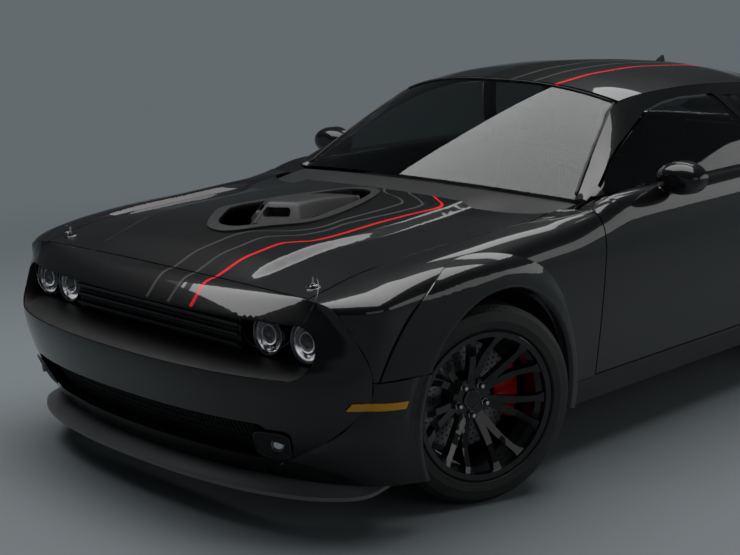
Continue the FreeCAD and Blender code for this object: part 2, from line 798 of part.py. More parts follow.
def frame_point(y, v):
    # The side of the cabin, from the belt up to the roof's edge.
    low = Vector(crest_x(y) - 10 - 52 * ease(-700, -850, y), y, crest_z(y) - 24)
    high = Vector(frame_top_x(y), y, frame_top_z(y))
    point = low + (high - low) * v
    swell = 4 * max(0.0, v) * (1 - v) * 20
    return point + Vector(0.8 * swell, 0, 0.6 * swell)


def window_outline(y0, y1, rear_lean, margin):
    # Points (y, z) round a side window: along the sill, then back along its top.
    low = [(y0, crest_z(y0) - 100), (y1, crest_z(y1) - 100), (y1, crest_z(y1) + margin)]
    tops = []
    for i in range(9):
        y = mix(y1 - rear_lean, y0, i / 8.0)
        tops.append((y, max(crest_z(y) + margin, glass_top_z(y) - margin)))
    return low + tops


def make_body_side():
    # Quarter panel, rear pillar, roof rail and windscreen pillar in one pressing.
    inner_drop = 14.0

    def frame_place(u, v):
        return frame_point(mix(-835, 1560, u), v)
    heights = [-0.11] + steps(7)
    frame = sheet(frame_place, steps(25), heights, pillar_wall, shift=Vector(-pillar_wall, 0, -6))
    frame = frame.cut(prism_x(window_outline(-745, door_window_rear_y, 262, -2), 400, 1100))
    frame = frame.cut(box(pillar_foot_x, 1000, -900, -690, 900, crest_z(-800) + 6))

    def foot_place(u, v):
        x, y = mix(771 + seat_gap, pillar_foot_x, v), mix(-915, -805, u)
        return Vector(x, y, mix(mix(950, 968, u), crest_z(y) - 2, v))
    frame = frame.fuse(sheet(foot_place, steps(3), steps(3), 14, shift=Vector(0, 0, -14)))
    frame = frame.cut(prism_x(quarter_window_outline(0), 400, 1100))

    def quarter_place(u, s):
        front = door_rear_y + door_gap / 2
        y = mix(front, tail_seam_y - panel_gap / 2, u)
        return section(y, s, crest_x(y) - 40, crest_z(y), rocker_z + inner_drop + 2 * seat_gap)
    rows = [1.0, 1.03, 1.08, 1.15, 1.3, 1.5, 1.7, 1.88, 1.96, 2.0, 2.03, 2.08, 2.2, 2.5, 2.8, 3.0]
    quarter = sheet(quarter_place, steps(19), rows, quarter_wall,
                    shift=Vector(-quarter_wall, 0, -inner_drop))
    arch = bar(600, 1200, rear_axle_y, tyre_radius - arch_centre_drop, arch_radius + 18)
    liner_seat = bar(600, rear_liner_x + seat_gap, rear_axle_y, tyre_radius,
                     liner_radius + liner_sheet + seat_gap)
    quarter = quarter.cut(arch).cut(liner_seat)

    def shelf_place(u, v):
        y = mix(deck_front_y - 20, tail_seam_y - panel_gap / 2, u)
        x = mix(deck_half_width + panel_gap, crest_x(y) - 20, v)
        return Vector(x, y, crest_z(y) + 6 * (1 - v))
    shelf = sheet(shelf_place, steps(9), steps(4), 30, shift=Vector(0, 0, -30))
    return frame.fuse(quarter).fuse(shelf)


def quarter_window_outline(margin):
    return [(650 + margin, crest_z(650) + 12 + margin), (1040 - margin, crest_z(1040) + 14 + margin),
            (1000 - margin, 1150), (900 - margin, 1252 - margin), (760, 1306 - margin),
            (400 + margin, 1316 - margin)]


def make_quarter_glass():
    def place(u, v):
        return frame_point(mix(380, 1060, u), v) - Vector(6, 0, 0)
    pane = sheet(place, steps(9), steps(5), glass, shift=Vector(-glass, 0, 0))
    return both_sides(pane.common(prism_x(quarter_window_outline(0.5), 400, 1100)))


def make_door():
    # Outer skin, glass slot and inner trim as one wall. Its rear face tapers, so that it swings
    # clear of the quarter panel, and its top front corner is notched for the windscreen pillar.
    front = door_front_y + door_gap / 2
    rear = door_rear_y - door_gap / 2

    def place(u, s):
        y = mix(front, rear, u)
        return section(y, s, crest_x(y), crest_z(y), rocker_z + door_gap)
    rows = [1.0, 1.03, 1.08, 1.15, 1.3, 1.5, 1.7, 1.88, 1.96, 2.0, 2.03, 2.08, 2.2, 2.5, 2.8, 3.0]
    columns = steps(13)
    outer = [[place(u, s) for s in rows] for u in columns]
    inner = [[place(u, s) + Vector(-door_wall, -door_inner_taper * u ** 3, -10 * (3 - s)) for s in rows]
             for u in columns]
    door = closed_between(outer, inner)
    return door.cut(box(700, pillar_foot_x + 8, front - 10, -690, 930, 1100))


def make_door_glass():
    def place(u, v):
        return frame_point(mix(-800, 640, u), v)
    pane = sheet(place, steps(15), steps(6), glass, shift=Vector(-glass, 0, 0))
    tops = window_outline(-745, door_window_rear_y - 8, 262, 7)[2:]
    sill = [(y, crest_z(y) + seat_gap) for y in steps(7, -745, door_window_rear_y - 8)]
    return pane.common(prism_x(sill + tops, 400, 1100))


def make_mirror(door):
    # An oval shell, open to the rear, on a short stalk from the door's top
    sections = []
    for y, across, up in ((-60, 30, 18), (-52, 68, 42), (-30, 94, 60), (0, 104, 67), (34, 106, 68)):
        oval = Part.Ellipse(Vector(0, 0, 0), across, up)
        wire = Part.Wire(oval.toShape())
        wire.rotate(Vector(0, 0, 0), Vector(1, 0, 0), 90)
        wire.translate(Vector(mirror_x, mirror_y + y, mirror_z))
        sections.append(wire)
    head = Part.makeLoft(sections, True)
    foot = Vector(crest_x(mirror_y) + 34, mirror_y - 20, crest_z(mirror_y) - 20)
    stalk = rod(foot, Vector(mirror_x - 30, mirror_y - 4, mirror_z - 30), 15)
    return head.fuse(stalk).cut(door)


def make_cowl():
    def place(u, v):
        front_y = hood_rear_y(u * 772) + 12
        rear = windscreen_point(u, 0.0)
        y = mix(front_y, rear.y - 2 + 14 * (1 - abs(u) ** 3), v)
        x = u * mix(764, 771, v)
        front_z = hood_skin(min(abs(x), 760), hood_rear_y(x)) - 14
        return Vector(x, y, mix(front_z, rear.z - 7, v))
    return sheet(place, steps(15, -1, 1), steps(4), 10, shift=Vector(0, 0, -10))


def deck_skin(u, y):
    # Height of the trunk lid; u runs from -1 to 1 across it.
    return crest_z(y) + 8 + 14 * (1 - abs(u) ** 2.5)


def make_decklid():
    def place(u, v):
        y = mix(deck_front_y, deck_rear_y, v)
        return Vector(u * deck_half_width, y, deck_skin(u, y))
    return sheet(place, steps(11, -1, 1), steps(7), deck_sheet, shift=Vector(0, 0, -deck_sheet))


def make_spoiler():
    # A low lip along the trunk lid's rear edge
    rise = along((2278, 3), (2330, 14), (deck_rear_y - 6, 42), (deck_rear_y, 40))
    columns = steps(11, -0.985, 0.985)
    ys = (2278.0, 2310.0, 2345.0, 2375.0, deck_rear_y - 4)
    foot = [[Vector(u * deck_half_width, y, deck_skin(u, y) + seat_gap) for y in ys] for u in columns]
    top = [[p + Vector(0, 0, rise(p.y)) for p in row] for row in foot]
    return closed_between(top, foot)


def tail_point(u, v):
    # A point of the rear cover: v runs from its foot to its top edge at 1, and on over the
    # flat top to the trunk lid at 2.
    z = mix(tail_foot_z, tail_top_z, min(v, 1.0))
    depth = tail_middle_y(z) - tail_flank_y
    end_ratio = (tail_seam_y + panel_gap / 2 - tail_flank_y) / depth
    angle = abs(u) * math.acos(end_ratio ** (tail_power / 2))
    y = tail_flank_y + depth * math.cos(angle) ** (2 / tail_power)
    width = math.sin(angle) ** (2 / tail_power) if angle else 0.0
    over = z - crease_z(tail_flank_y)
    side = waist_x(tail_flank_y) - 0.12 * hinge_bend(over) - 0.022 * hinge_bend(-over)
    side -= 0.00008 * hinge_bend(-over) ** 2 + 60 * ease(930, 1070, z)
    x = math.copysign(side * width, u) if u else 0.0
    over_top = max(0.0, v - 1.0)
    x *= 1 - 0.26 * over_top
    y = mix(y, tail_seam_y + panel_gap / 2 + 0.12 * (y - tail_seam_y), over_top)
    return Vector(x, y, z + 12 * math.sin(over_top * math.pi / 2))


def make_rear_fascia():
    shares = [0, 0.12, 0.25, 0.4, 0.55, 0.7, 0.8, 0.9, 1.0]
    us = [-s for s in reversed(shares[1:])] + shares
    rows = steps(12) + [1.06, 1.15, 1.4, 1.7, 2.0]
    cover = sheet(tail_point, us, rows, skin + 3, inside=Vector(0, 1800, 650))
    lamps = slot_outline(lamp_band_half, lamp_band_foot, lamp_band_top, 20, 2300, 2600)
    lid = box(-deck_half_width - panel_gap, deck_half_width + panel_gap, 2200, deck_rear_y + panel_gap,
              1000, 1200)
    cover = cover.cut(lamps).cut(lid)
    for side in (-1, 1):
        cover = cover.cut(slot_outline(exhaust_radius + 12, 200, exhaust_z + exhaust_radius + 10, 20,
                                       2300, 2600).translated(Vector(side * exhaust_x, 0, 0)))
    return cover


def make_tail_lamps():
    gap = seat_gap
    panel = slot_outline(lamp_band_half - gap, lamp_band_foot + gap, lamp_band_top - gap, 20, 2300, 2600)

    def place(u, v):
        z = mix(lamp_band_foot - 10, lamp_band_top + 10, v)
        x = u * (lamp_band_half + 10)
        ratio = x / (waist_x(tail_flank_y) - 6)
        y = tail_flank_y + (tail_middle_y(z) - tail_flank_y) * rounding(ratio, tail_power)
        return Vector(x, y - 3, z)
    band = sheet(place, steps(15, -1, 1), steps(4), 22, shift=Vector(0, -22, 0))
    return band.common(panel)


def make_diffuser():
    # Valance under the tail, with fins
    base = prism_x([(2120, 236), (2437, 249), (2437, tail_foot_z - seat_gap),
                    (2400, tail_foot_z - seat_gap),
                    (2120, 250)], -425, 425)
    for x in (-360, -120, 120, 360):
        base = base.fuse(prism_x([(2150, 238), (2400, 249), (2396, 214), (2240, 218)], x - 4, x + 4))
    return base


def make_exhaust():
    pieces = []
    for side in (-1, 1):
        x = side * exhaust_x
        tip = Part.makeCylinder(exhaust_radius, 190, Vector(x, 2290, exhaust_z), Vector(0, 1, 0))
        bore = Part.makeCylinder(exhaust_radius - 6, 190, Vector(x, 2310, exhaust_z), Vector(0, 1, 0))
        can = box(x - 130, x + 130, 2040, 2292, 240, 400)
        strap = box(x - 20, x + 20, 2100, 2140, 398, trunk_floor_z - seat_gap)
        pieces.append(can.fuse(tip.cut(bore)).fuse(strap))
    return Part.makeCompound(pieces)


def make_skirts():
    outline = [(905, sill_z), (928, sill_z + 12), (938, rocker_z - 8), (930, rocker_z),
               (845 + seat_gap, rocker_z), (845 + seat_gap, sill_z)]
    return both_sides(prism_y(outline, front_axle_y + flare_foot_reach, rear_axle_y - flare_foot_reach))


# Floor and running gear
def wheel_liner(axle, end):
    outer = bar(wheelhouse_inner_x - liner_sheet, end, axle, tyre_radius, liner_radius + liner_sheet)
    inner = bar(wheelhouse_inner_x, end + 1, axle, tyre_radius, liner_radius)
    return outer.cut(inner).cut(box(0, 1000, axle - 500, axle + 500, -200, floor_z + 60))


def make_floor():
    # Cabin floor, tunnel, firewall, front rails, front wheelhouses and radiator panel
    front, rear = firewall_y, floor_rear_y
    pan = box(-845, 845, front, rear, floor_z, floor_z + floor_sheet)
    sill = box(800, 845, front, rear_axle_y - liner_radius - liner_sheet - seat_gap, floor_z, rocker_z)
    tunnel = box(-140, 140, front, rear, floor_z, tunnel_top_z)
    tunnel = tunnel.cut(box(-120, 120, front - 1, rear + 1, 0, tunnel_top_z - 20))
    firewall = box(-760, 760, front, front + 15, floor_z, 912)
    firewall = firewall.cut(box(330, 800, front - 1, front + 20, 640, 780)).fuse(
        box(330, 760, front, front + 15, 600, 790))
    liner = wheel_liner(front_axle_y, front_liner_x)
    rail = box(430, wheelhouse_inner_x - liner_sheet, radiator_panel_y, front, 420, 520)
    panel = box(-760, 760, radiator_panel_y - 20, radiator_panel_y, 420, radiator_panel_z)
    solid = pan.fuse(tunnel).fuse(firewall).fuse(panel)
    for piece in (sill, liner, rail):
        solid = solid.fuse(piece).fuse(mirrored(piece))
    # Room for the front arms and their towers
    room = tower_half + seat_gap
    notch = box(420, 520, front_axle_y - room, front_axle_y + room, 415, 575)
    solid = solid.cut(notch).cut(mirrored(notch))
    # Stops under the hood
    for side in (-1, 1):
        x = side * 300
        top = hood_skin(x, radiator_panel_y - 19) - hood_sheet - 2.5
        foot = Vector(x, radiator_panel_y - 10, radiator_panel_z - 4)
        solid = solid.fuse(Part.makeCylinder(9, top - foot.z, foot))
    return solid.removeSplitter()


def make_trunk_floor():
    # Rear half of the floor: step, trunk floor, bulkhead, rails, rear wheelhouses, tail panel
    front = floor_rear_y
    step = box(-845, 845, front + 0.2, front + 15, floor_z, trunk_floor_z + 15)
    tub = box(-495, 495, front + 10, 2200, trunk_floor_z, trunk_floor_z + 15)
    trunk_side = box(480, 700, 1860, 2200, trunk_floor_z, trunk_floor_z + 15)
    bulkhead = box(-590, 590, 1440, 1455, 805, 1075).fuse(
        box(-590, 590, 1440, 1550, 1060, 1075)).fuse(box(-495, 495, 1440, 1455, trunk_floor_z, 810))
    tail = box(-700, 700, 2185, 2200, trunk_floor_z, 960)
    liner = wheel_liner(rear_axle_y, rear_liner_x)
    rail = box(430, wheelhouse_inner_x - liner_sheet, front + 10, 2200, 420, 520)
    solid = step.fuse(tub).fuse(bulkhead).fuse(tail)
    for piece in (trunk_side, liner, rail):
        solid = solid.fuse(piece).fuse(mirrored(piece))
    solid = solid.cut(bar(-520, 520, rear_axle_y, tyre_radius, shaft_radius + seat_gap))
    # Rests for the trunk lid's hinges
    for lid_x in (-520, 520):
        arm = box(lid_x - 20, lid_x + 20, 1440, 1604, 1040, 1055)
        lid_foot = deck_skin(520.0 / deck_half_width, 1592) - deck_sheet - 1.5
        post = box(lid_x - 20, lid_x + 20, 1592, 1604, 1040, lid_foot)
        solid = solid.fuse(arm).fuse(post)
    return solid.removeSplitter()


def make_engine():
    # The engine as one block, standing on the front crossmember, with the scoop's neck on top
    block = box(-330, 330, -1900, -1150, crossmember_top_z + seat_gap, 800)
    return block.fuse(box(-60, 60, -1700, -1500, 800, scoop_foot_z))


def make_knuckle():
    # Front upright with its steering pivot bored for the arms' pins.
    pivot = -kingpin_inboard
    carrier = make_hub_carrier(1)
    for z in (-pivot_half_height, pivot_half_height):
        carrier = carrier.fuse(Part.makeCylinder(24, 30, Vector(pivot, 0, z - 15)))
    bottom = Part.makeCylinder(pin_radius + running_fit, 60, Vector(pivot, 0, -pivot_half_height - 30))
    top = Part.makeCylinder(pin_radius + running_fit, 60, Vector(pivot, 0, pivot_half_height - 30))
    return carrier.cut(bottom).cut(top)


def make_suspension():
    # Rear axle with its carriers, and the front crossmember with its arms.
    rear_hub_x = wheel_track / 2
    carrier = make_hub_carrier(-1)
    carrier.translate(Vector(rear_hub_x, rear_axle_y, tyre_radius))
    shaft = bar(0, rear_hub_x - 70, rear_axle_y, tyre_radius, shaft_radius)
    housing = Part.makeSphere(118, Vector(0, rear_axle_y, tyre_radius))
    rear = housing.fuse(shaft).fuse(mirrored(shaft)).fuse(carrier).fuse(mirrored(carrier))
    pivot_x = wheel_track / 2 - kingpin_inboard
    low = tyre_radius - pivot_half_height
    high = tyre_radius + pivot_half_height
    front = box(-430, 430, front_axle_y - 70, front_axle_y + 70, 222, crossmember_top_z)
    tower = box(430, 470, front_axle_y - tower_half, front_axle_y + tower_half, 222, high + 40)
    arm = prism_z([(430, -70), (430, 70), (pivot_x + 10, 14), (pivot_x + 10, -14)],
                  front_axle_y, low - 45, low - 22)
    upper = prism_z([(430, -40), (430, 40), (pivot_x + 10, 14), (pivot_x + 10, -14)],
                    front_axle_y, high + 22, high + 40)
    low_pin = Part.makeCylinder(pin_radius, 45, Vector(pivot_x, front_axle_y, low - 35))
    high_pin = Part.makeCylinder(pin_radius, 45, Vector(pivot_x, front_axle_y, high - 10))
    foot = box(430, 470, front_axle_y - 70, front_axle_y + 70, low - 45, crossmember_top_z)
    half = tower.fuse(foot).fuse(arm).fuse(upper).fuse(low_pin).fuse(high_pin)
    return Part.makeCompound([rear, front.fuse(half).fuse(mirrored(half))])


def spoke_arm(middle, bend):
    # One bent arm of a pair, from the hub to the rim, in the (y, z) plane about the axle.
    count = 11
    left, right = [], []
    for i in range(count):
        t = i / (count - 1.0)
        radius = mix(58.0, bead_radius - 3, t)
        swing = math.radians(middle + bend * (5.5 + 7.4 * t ** 0.7 - 2.2 * math.sin(math.pi * t)))
        half = mix(14, 10, t) + 11 * ease(0.86, 1.0, t)
        cs, sn = math.cos(swing), math.sin(swing)
        left.append((radius * cs - half * sn, radius * sn + half * cs))
        right.append((radius * cs + half * sn, radius * sn - half * cs))
    return left + right[::-1]


def make_rim():
    # Rim on an axle along X at the origin, its outer face towards +X.
    half = rim_half_width
    seat = bead_radius
    flange = bead_radius + flange_height
    well = barrel_radius
    wall = barrel_wall
    profile = [(-half, flange), (-half + 7, flange), (-half + 8.5, seat), (-half + 36, seat),
               (-half + 52, well), (half - 52, well), (half - 36, seat), (half - 8.5, seat),
               (half - 7, flange), (half - 2, flange), (half, flange - 3), (half - 4, seat - wall),
               (half - 30, seat - wall), (half - 46, well - wall), (-half + 46, well - wall),
               (-half + 30, seat - wall), (-half, seat - wall)]
    barrel = spun(profile)
    hub_x = half - hub_face_setback
    solid = barrel.fuse(bar(hub_x - hub_pad, hub_x, 0, 0, hub_radius))
    # Arms dish outward from the hub to the rim: a turned shell trims their front and back
    dish = spun([(hub_x - hub_pad, 20), (hub_x - 2, 20), (hub_x, 62), (half - 60, 170),
                 (half - 26, 226), (half - 12, seat - 1), (half - 46, seat - 1), (half - 72, 214),
                 (hub_x + 2, 150), (hub_x - 26, 70)])
    for i in range(spoke_pairs):
        middle = 90 + i * 360.0 / spoke_pairs
        for bend in (-1, 1):
            arm = prism_x(spoke_arm(middle, bend), -half, half)
            solid = solid.fuse(arm.common(dish))
    for i in range(lug_count):
        a = math.radians(90 + (i + 0.5) * 360.0 / lug_count)
        y, z = lug_circle_radius * math.cos(a), lug_circle_radius * math.sin(a)
        solid = solid.fuse(bar(hub_x - 1, hub_x + 20, y, z, 10.5))
    return solid


def make_tyre():
    half = tyre_width / 2
    top = tyre_radius
    seat = bead_radius + 0.3
    bead = rim_half_width - 9.0
    flange = bead_radius + flange_height + 2
    side = [(bead, seat), (bead, flange), (half - 3, flange + 6), (half, flange + 34),
            (half - 8, top - 26), (half - 30, top - 4), (60, top)]
    inside = [(bead - 22, seat), (bead - 22, flange), (half - 12, flange + 34), (half - 26, top - 18)]
    loop = side + [(-x, r) for x, r in side[::-1]] + [(-x, r) for x, r in inside]
    loop += [(x, r) for x, r in inside[::-1]]
    return spun(loop)


def make_disc():
    # Brake disc with its hat against the wheel's pad, bored for the spindle.
    back = pad_back_x() - disc_behind_pad - disc_thickness
    disc = bar(back, back + disc_thickness, 0, 0, disc_radius).fuse(
        bar(back, pad_back_x(), 0, 0, disc_hat_radius))
    return disc.cut(bar(back - 1, pad_back_x() - 8, 0, 0, spindle_radius + running_fit))


def pad_back_x():
    # Back of the wheel's hub pad, outward of the wheel's middle plane.
    return rim_half_width - hub_face_setback - hub_pad


def make_hub_carrier(toward):
    # Upright, spindle and brake caliper about an axle at the origin; toward is the side of the
    # axle that the caliper sits on.
    back = pad_back_x() - disc_behind_pad - disc_thickness
    spindle = bar(back - 20, pad_back_x() - 14, 0, 0, spindle_radius)
    post = box(back - 44, back - 8, -34, 34, -165, 165)
    ring = bar(back - 22, back + disc_thickness + 20, 0, 0, disc_radius + 20)
    ring = ring.cut(bar(back - 60, back + 90, 0, 0, 118))
    wedge = prism_x([(0, 0), (toward * 400, -215), (toward * 400, 215)], back - 60, back + 90)
    caliper = ring.common(wedge)
    caliper = caliper.cut(bar(back - 6, back + disc_thickness + 6, 0, 0, disc_radius + 6))
    link = box(back - 40, back - 12, min(0, toward * 150), max(0, toward * 150), -30, 30)
    return spindle.fuse(post).fuse(caliper).fuse(link)


# Cabin fittings
def make_dash():
    back = firewall_y + 15 + seat_gap
    outline = [(back, 640), (-560, 620), (-500, 700), (-470, 860), (-500, 925), (-700, 938),
               (-880, 925), (back, 900)]
    dash = prism_x(outline, -640, 640)
    centre = Vector(370, -330, 880)
    axis = Vector(0, 0.92, 0.39)
    wheel = Part.makeTorus(178, 15, centre, axis)
    hub = Part.makeCylinder(55, 34, centre - axis * 30, axis)
    column = rod(centre - axis * 220, centre - axis * 10, 30)
    wheel = wheel.fuse(hub).fuse(column)
    for angle in (0, 180, 270):
        spoke = Part.makeBox(178, 26, 12, Vector(0, -13, -6))
        spoke.rotate(Vector(0, 0, 0), Vector(0, 0, 1), angle)
        turn = FreeCAD.Rotation(Vector(0, 0, 1), axis)
        spoke.Placement = FreeCAD.Placement(centre, turn).multiply(spoke.Placement)
        wheel = wheel.fuse(spoke)
    return dash.fuse(wheel)


def make_seats():
    seats = []
    for side in (-1, 1):
        x = side * 370
        base = box(x - 215, x + 215, -260, 270, 300, 470)
        base = rounded(base, 40, lambda e: e.Length > 100 and e.BoundBox.ZMax > 460)
        back = prism_x([(170, 440), (300, 440), (450, 1060), (370, 1070)], x - 215, x + 215)
        head = box(x - 130, x + 130, 385, 470, 1055, 1220)
        plinth = box(x - 200, x + 200, -220, 230, floor_z + floor_sheet, 302)
        seats.append(base.fuse(back).fuse(head).fuse(plinth))
    bench = prism_x([(560, 300), (900, 300), (1010, 960), (920, 960), (830, 480), (560, 470)],
                    -600, 600)
    bench = bench.cut(box(-145, 145, 500, 1000, 200, tunnel_top_z + seat_gap))
    seats.append(bench)
    return Part.makeCompound(seats)


def make_pins():
    pins = [Part.makeCylinder(hood_pin_radius, 118, Vector(side * hood_pin_x, hood_pin_y, radiator_panel_z))
            for side in (-1, 1)]
    return Part.makeCompound(pins)


def make_antenna():
    front, rear = 915.0, 995.0
    return prism_x([(front, roof_centre_z(front) + seat_gap), (rear, roof_centre_z(rear) + seat_gap),
                    (rear - 6, roof_centre_z(rear) + 12), (rear - 16, roof_centre_z(rear) + 42)], -8, 8)


def make_side_markers():
    # A lens across the joint between the nose cover and the flare below it
    def place(u, v):
        z = mix(462, 484, v) - 10 * u
        if u <= 0.4:
            point = nose_point(mix(0.9, 1.0, u / 0.4), 2.0 + (548.0 - z) / (548.0 - nose_foot_z))
        else:
            point = low_flare_point(z, mix(3.0, 2.2, (u - 0.4) / 0.6))
        return point + Vector(1.0, -0.8, 0)
    return both_sides(sheet(place, steps(9), steps(2), -6, inside=Vector(0, -1800, 450)))


def place_wheel(shape, side, axle_y):
    # From the axle at the origin, outer face to +X, to its corner of the car.
    moved = shape.copy()
    if side < 0:
        moved = moved.mirror(Vector(0, 0, 0), Vector(1, 0, 0))
    moved.translate(Vector(side * wheel_track / 2, axle_y, tyre_radius))
    return steered(moved, side) if axle_y == front_axle_y else moved


def steered(shape, side):
    # Turned about the steering axis as the car stands parked.
    moved = shape.copy()
    pivot = Vector(side * (wheel_track / 2 - kingpin_inboard), front_axle_y, 0)
    moved.rotate(pivot, Vector(0, 0, 1), -parked_steer_deg)
    return moved


def main():
    os.makedirs("parts", exist_ok=True)
    save("hood", make_hood())
    save("hood_bezel", make_hood_bezel())
    save("shaker_scoop", make_scoop())
    cover = make_front_fascia()
    save("front_fascia", cover)
    save("slot_surround", make_slot_surround())
    save("grilles", make_grilles())
    save("front_lamps", make_lamps())
    save("splitter", make_splitter())
    fender = make_fender(cover)
    save("fender_left", fender)
    save("fender_right", mirrored(fender))
    flares = make_flares(cover)
    save("arch_flares", flares)
    side = make_body_side()
    save("body_side_left", side)
    save("body_side_right", mirrored(side))
    door = make_door()
    save("door_left", door)
    save("door_right", mirrored(door))
    pane = make_door_glass()
    save("door_glass_left", pane)
    save("door_glass_right", mirrored(pane))
    mirror = make_mirror(door)
    save("mirror_left", mirror)
    save("mirror_right", mirrored(mirror))
    save("quarter_glass", make_quarter_glass())
    both = (side, mirrored(side))
    nearer = side.translated(Vector(-0.5, -0.25, 0.3))
    save("windscreen", largest(make_glass(windscreen_point, 0.985, 0.02, 0.98).cut(
        (nearer, mirrored(nearer)))))
    save("rear_glass", largest(make_glass(rear_glass_point, 0.985, 0.02, 0.98).cut(both)))
    save("roof", largest(make_roof().cut(both)))
    save("cowl", make_cowl())
    save("decklid", make_decklid())
    save("spoiler", make_spoiler())
    save("rear_fascia", make_rear_fascia().cut(both))
    save("tail_lamps", make_tail_lamps())
    save("diffuser", make_diffuser())
    save("exhaust", make_exhaust())
    save("side_skirts", make_skirts())
    save("floor_pan", make_floor())
    save("trunk_floor", make_trunk_floor())
    save("engine", make_engine())
    save("dashboard", make_dash())
    save("seats", make_seats())
    save("hood_pins", make_pins())
    save("antenna", make_antenna())
    save("side_markers", make_side_markers().cut((cover, flares)))
    save("suspension", make_suspension())
    knuckle = make_knuckle()
    save("knuckle_left", place_wheel(knuckle, 1, front_axle_y))
    save("knuckle_right", place_wheel(knuckle, -1, front_axle_y))
    rim = make_rim()
    tyre = make_tyre()
    disc = make_disc()
    for name, lateral, axle in (("front_left", 1, front_axle_y), ("front_right", -1, front_axle_y),
                                ("rear_left", 1, rear_axle_y), ("rear_right", -1, rear_axle_y)):
        save("rim_" + name, place_wheel(rim, lateral, axle))
        save("tyre_" + name, place_wheel(tyre, lateral, axle))
        save("brake_disc_" + name, place_wheel(disc, lateral, axle))


main()
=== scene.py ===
import bpy
import bmesh
import json
import math
import numpy as np
from mathutils import Matrix, Vector
from mathutils.bvhtree import BVHTree


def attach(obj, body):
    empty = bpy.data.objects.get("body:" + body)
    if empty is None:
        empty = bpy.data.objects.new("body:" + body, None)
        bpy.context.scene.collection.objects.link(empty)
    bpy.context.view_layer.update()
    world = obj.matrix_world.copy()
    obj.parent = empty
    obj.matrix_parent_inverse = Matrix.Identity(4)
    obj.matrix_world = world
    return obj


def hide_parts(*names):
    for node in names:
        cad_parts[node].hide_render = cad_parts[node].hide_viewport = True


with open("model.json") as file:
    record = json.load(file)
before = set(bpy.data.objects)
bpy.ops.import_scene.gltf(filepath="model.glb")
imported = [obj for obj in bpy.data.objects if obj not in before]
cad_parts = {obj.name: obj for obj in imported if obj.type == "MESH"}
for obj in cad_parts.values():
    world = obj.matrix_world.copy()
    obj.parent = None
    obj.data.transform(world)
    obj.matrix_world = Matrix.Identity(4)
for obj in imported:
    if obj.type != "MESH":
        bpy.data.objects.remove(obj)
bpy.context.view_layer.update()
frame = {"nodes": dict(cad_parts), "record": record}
nodes = frame["nodes"]
print("frame loaded:", len(nodes), "nodes")

scene = bpy.context.scene
mm = 0.001


# camera and lights
view = {"place": (3.7965, -5.1646, 1.7622), "yaw": 2.334, "pitch": -0.207, "roll": 0.003, "lens": 65.9,
        "sensor": 36.0}
studio = {
    "softbox": {"size": (7.1, 4.2), "place": (-0.90, -1.30, 5.0), "turn": 35.8, "power": 285},
    "roofBox": {"size": (2.6, 1.6), "place": (-1.4, 3.9, 5.0), "turn": 20.0, "power": 26},
    "rearFill": {"size": (7.0, 2.2), "place": (5.5, 4.5, 2.6), "power": 50},
    "sidePanel": {"size": (4.0, 1.6), "place": (6.4, -2.2, 2.4), "power": 12},
    "target": (0.6, 0, 0.5), "floorReach": 600.0, "evenFrom": 2.4, "evenTo": 6.5,
    "floorColour": (0.22, 0.25, 0.262, 1), "backdrop": (0.125, 0.147, 0.157, 1),
    "ceiling": (0.035, 0.04, 0.043, 1), "horizonEnd": 0.02, "ceilingStart": 0.12,
}


def areaLight(name):
    # a lamp that lies flat and turned, or one that faces the car
    settings = studio[name]
    data = bpy.data.lights.new(name, "AREA")
    data.shape, data.energy = "RECTANGLE", settings["power"]
    data.size, data.size_y = settings["size"]
    lamp = bpy.data.objects.new(name, data)
    scene.collection.objects.link(lamp)
    lamp.location = settings["place"]
    if "turn" in settings:
        lamp.rotation_euler = (0, 0, math.radians(settings["turn"]))
    else:
        way = Vector(studio["target"]) - lamp.location
        lamp.rotation_euler = way.to_track_quat("-Z", "Y").to_euler()


cameraData = bpy.data.cameras.new("camera")
camera = bpy.data.objects.new("camera", cameraData)
scene.collection.objects.link(camera)
scene.camera = camera
cameraData.lens, cameraData.sensor_width = view["lens"], view["sensor"]
camera.location = view["place"]
level = math.cos(view["pitch"])
ahead = Vector((level * math.cos(view["yaw"]), level * math.sin(view["yaw"]), math.sin(view["pitch"])))
roll = Matrix.Rotation(view["roll"], 3, "Z").to_quaternion()
camera.rotation_mode = "QUATERNION"
camera.rotation_quaternion = ahead.to_track_quat("-Z", "Y") @ roll

for name in ("softbox", "roofBox", "rearFill", "sidePanel"):
    areaLight(name)
print("camera and lights placed")


# material helpers
class Wire:
    # a node's output socket that takes part in plain sums
    def __init__(self, graph, socket):
        self.graph, self.socket = graph, socket

    def __add__(self, other):
        return self.graph.sum("ADD", self, other)

    def __radd__(self, other):
        return self.graph.sum("ADD", other, self)

    def __sub__(self, other):
        return self.graph.sum("SUBTRACT", self, other)

    def __rsub__(self, other):
        return self.graph.sum("SUBTRACT", other, self)

    def __mul__(self, other):
        return self.graph.sum("MULTIPLY", self, other)

    def __rmul__(self, other):
        return self.graph.sum("MULTIPLY", other, self)

    def __truediv__(self, other):
        return self.graph.sum("DIVIDE", self, other)

    def __abs__(self):
        return self.graph.sum("ABSOLUTE", self)

    def __gt__(self, other):
        return self.graph.sum("GREATER_THAN", self, other)

    def __lt__(self, other):
        return self.graph.sum("LESS_THAN", self, other)


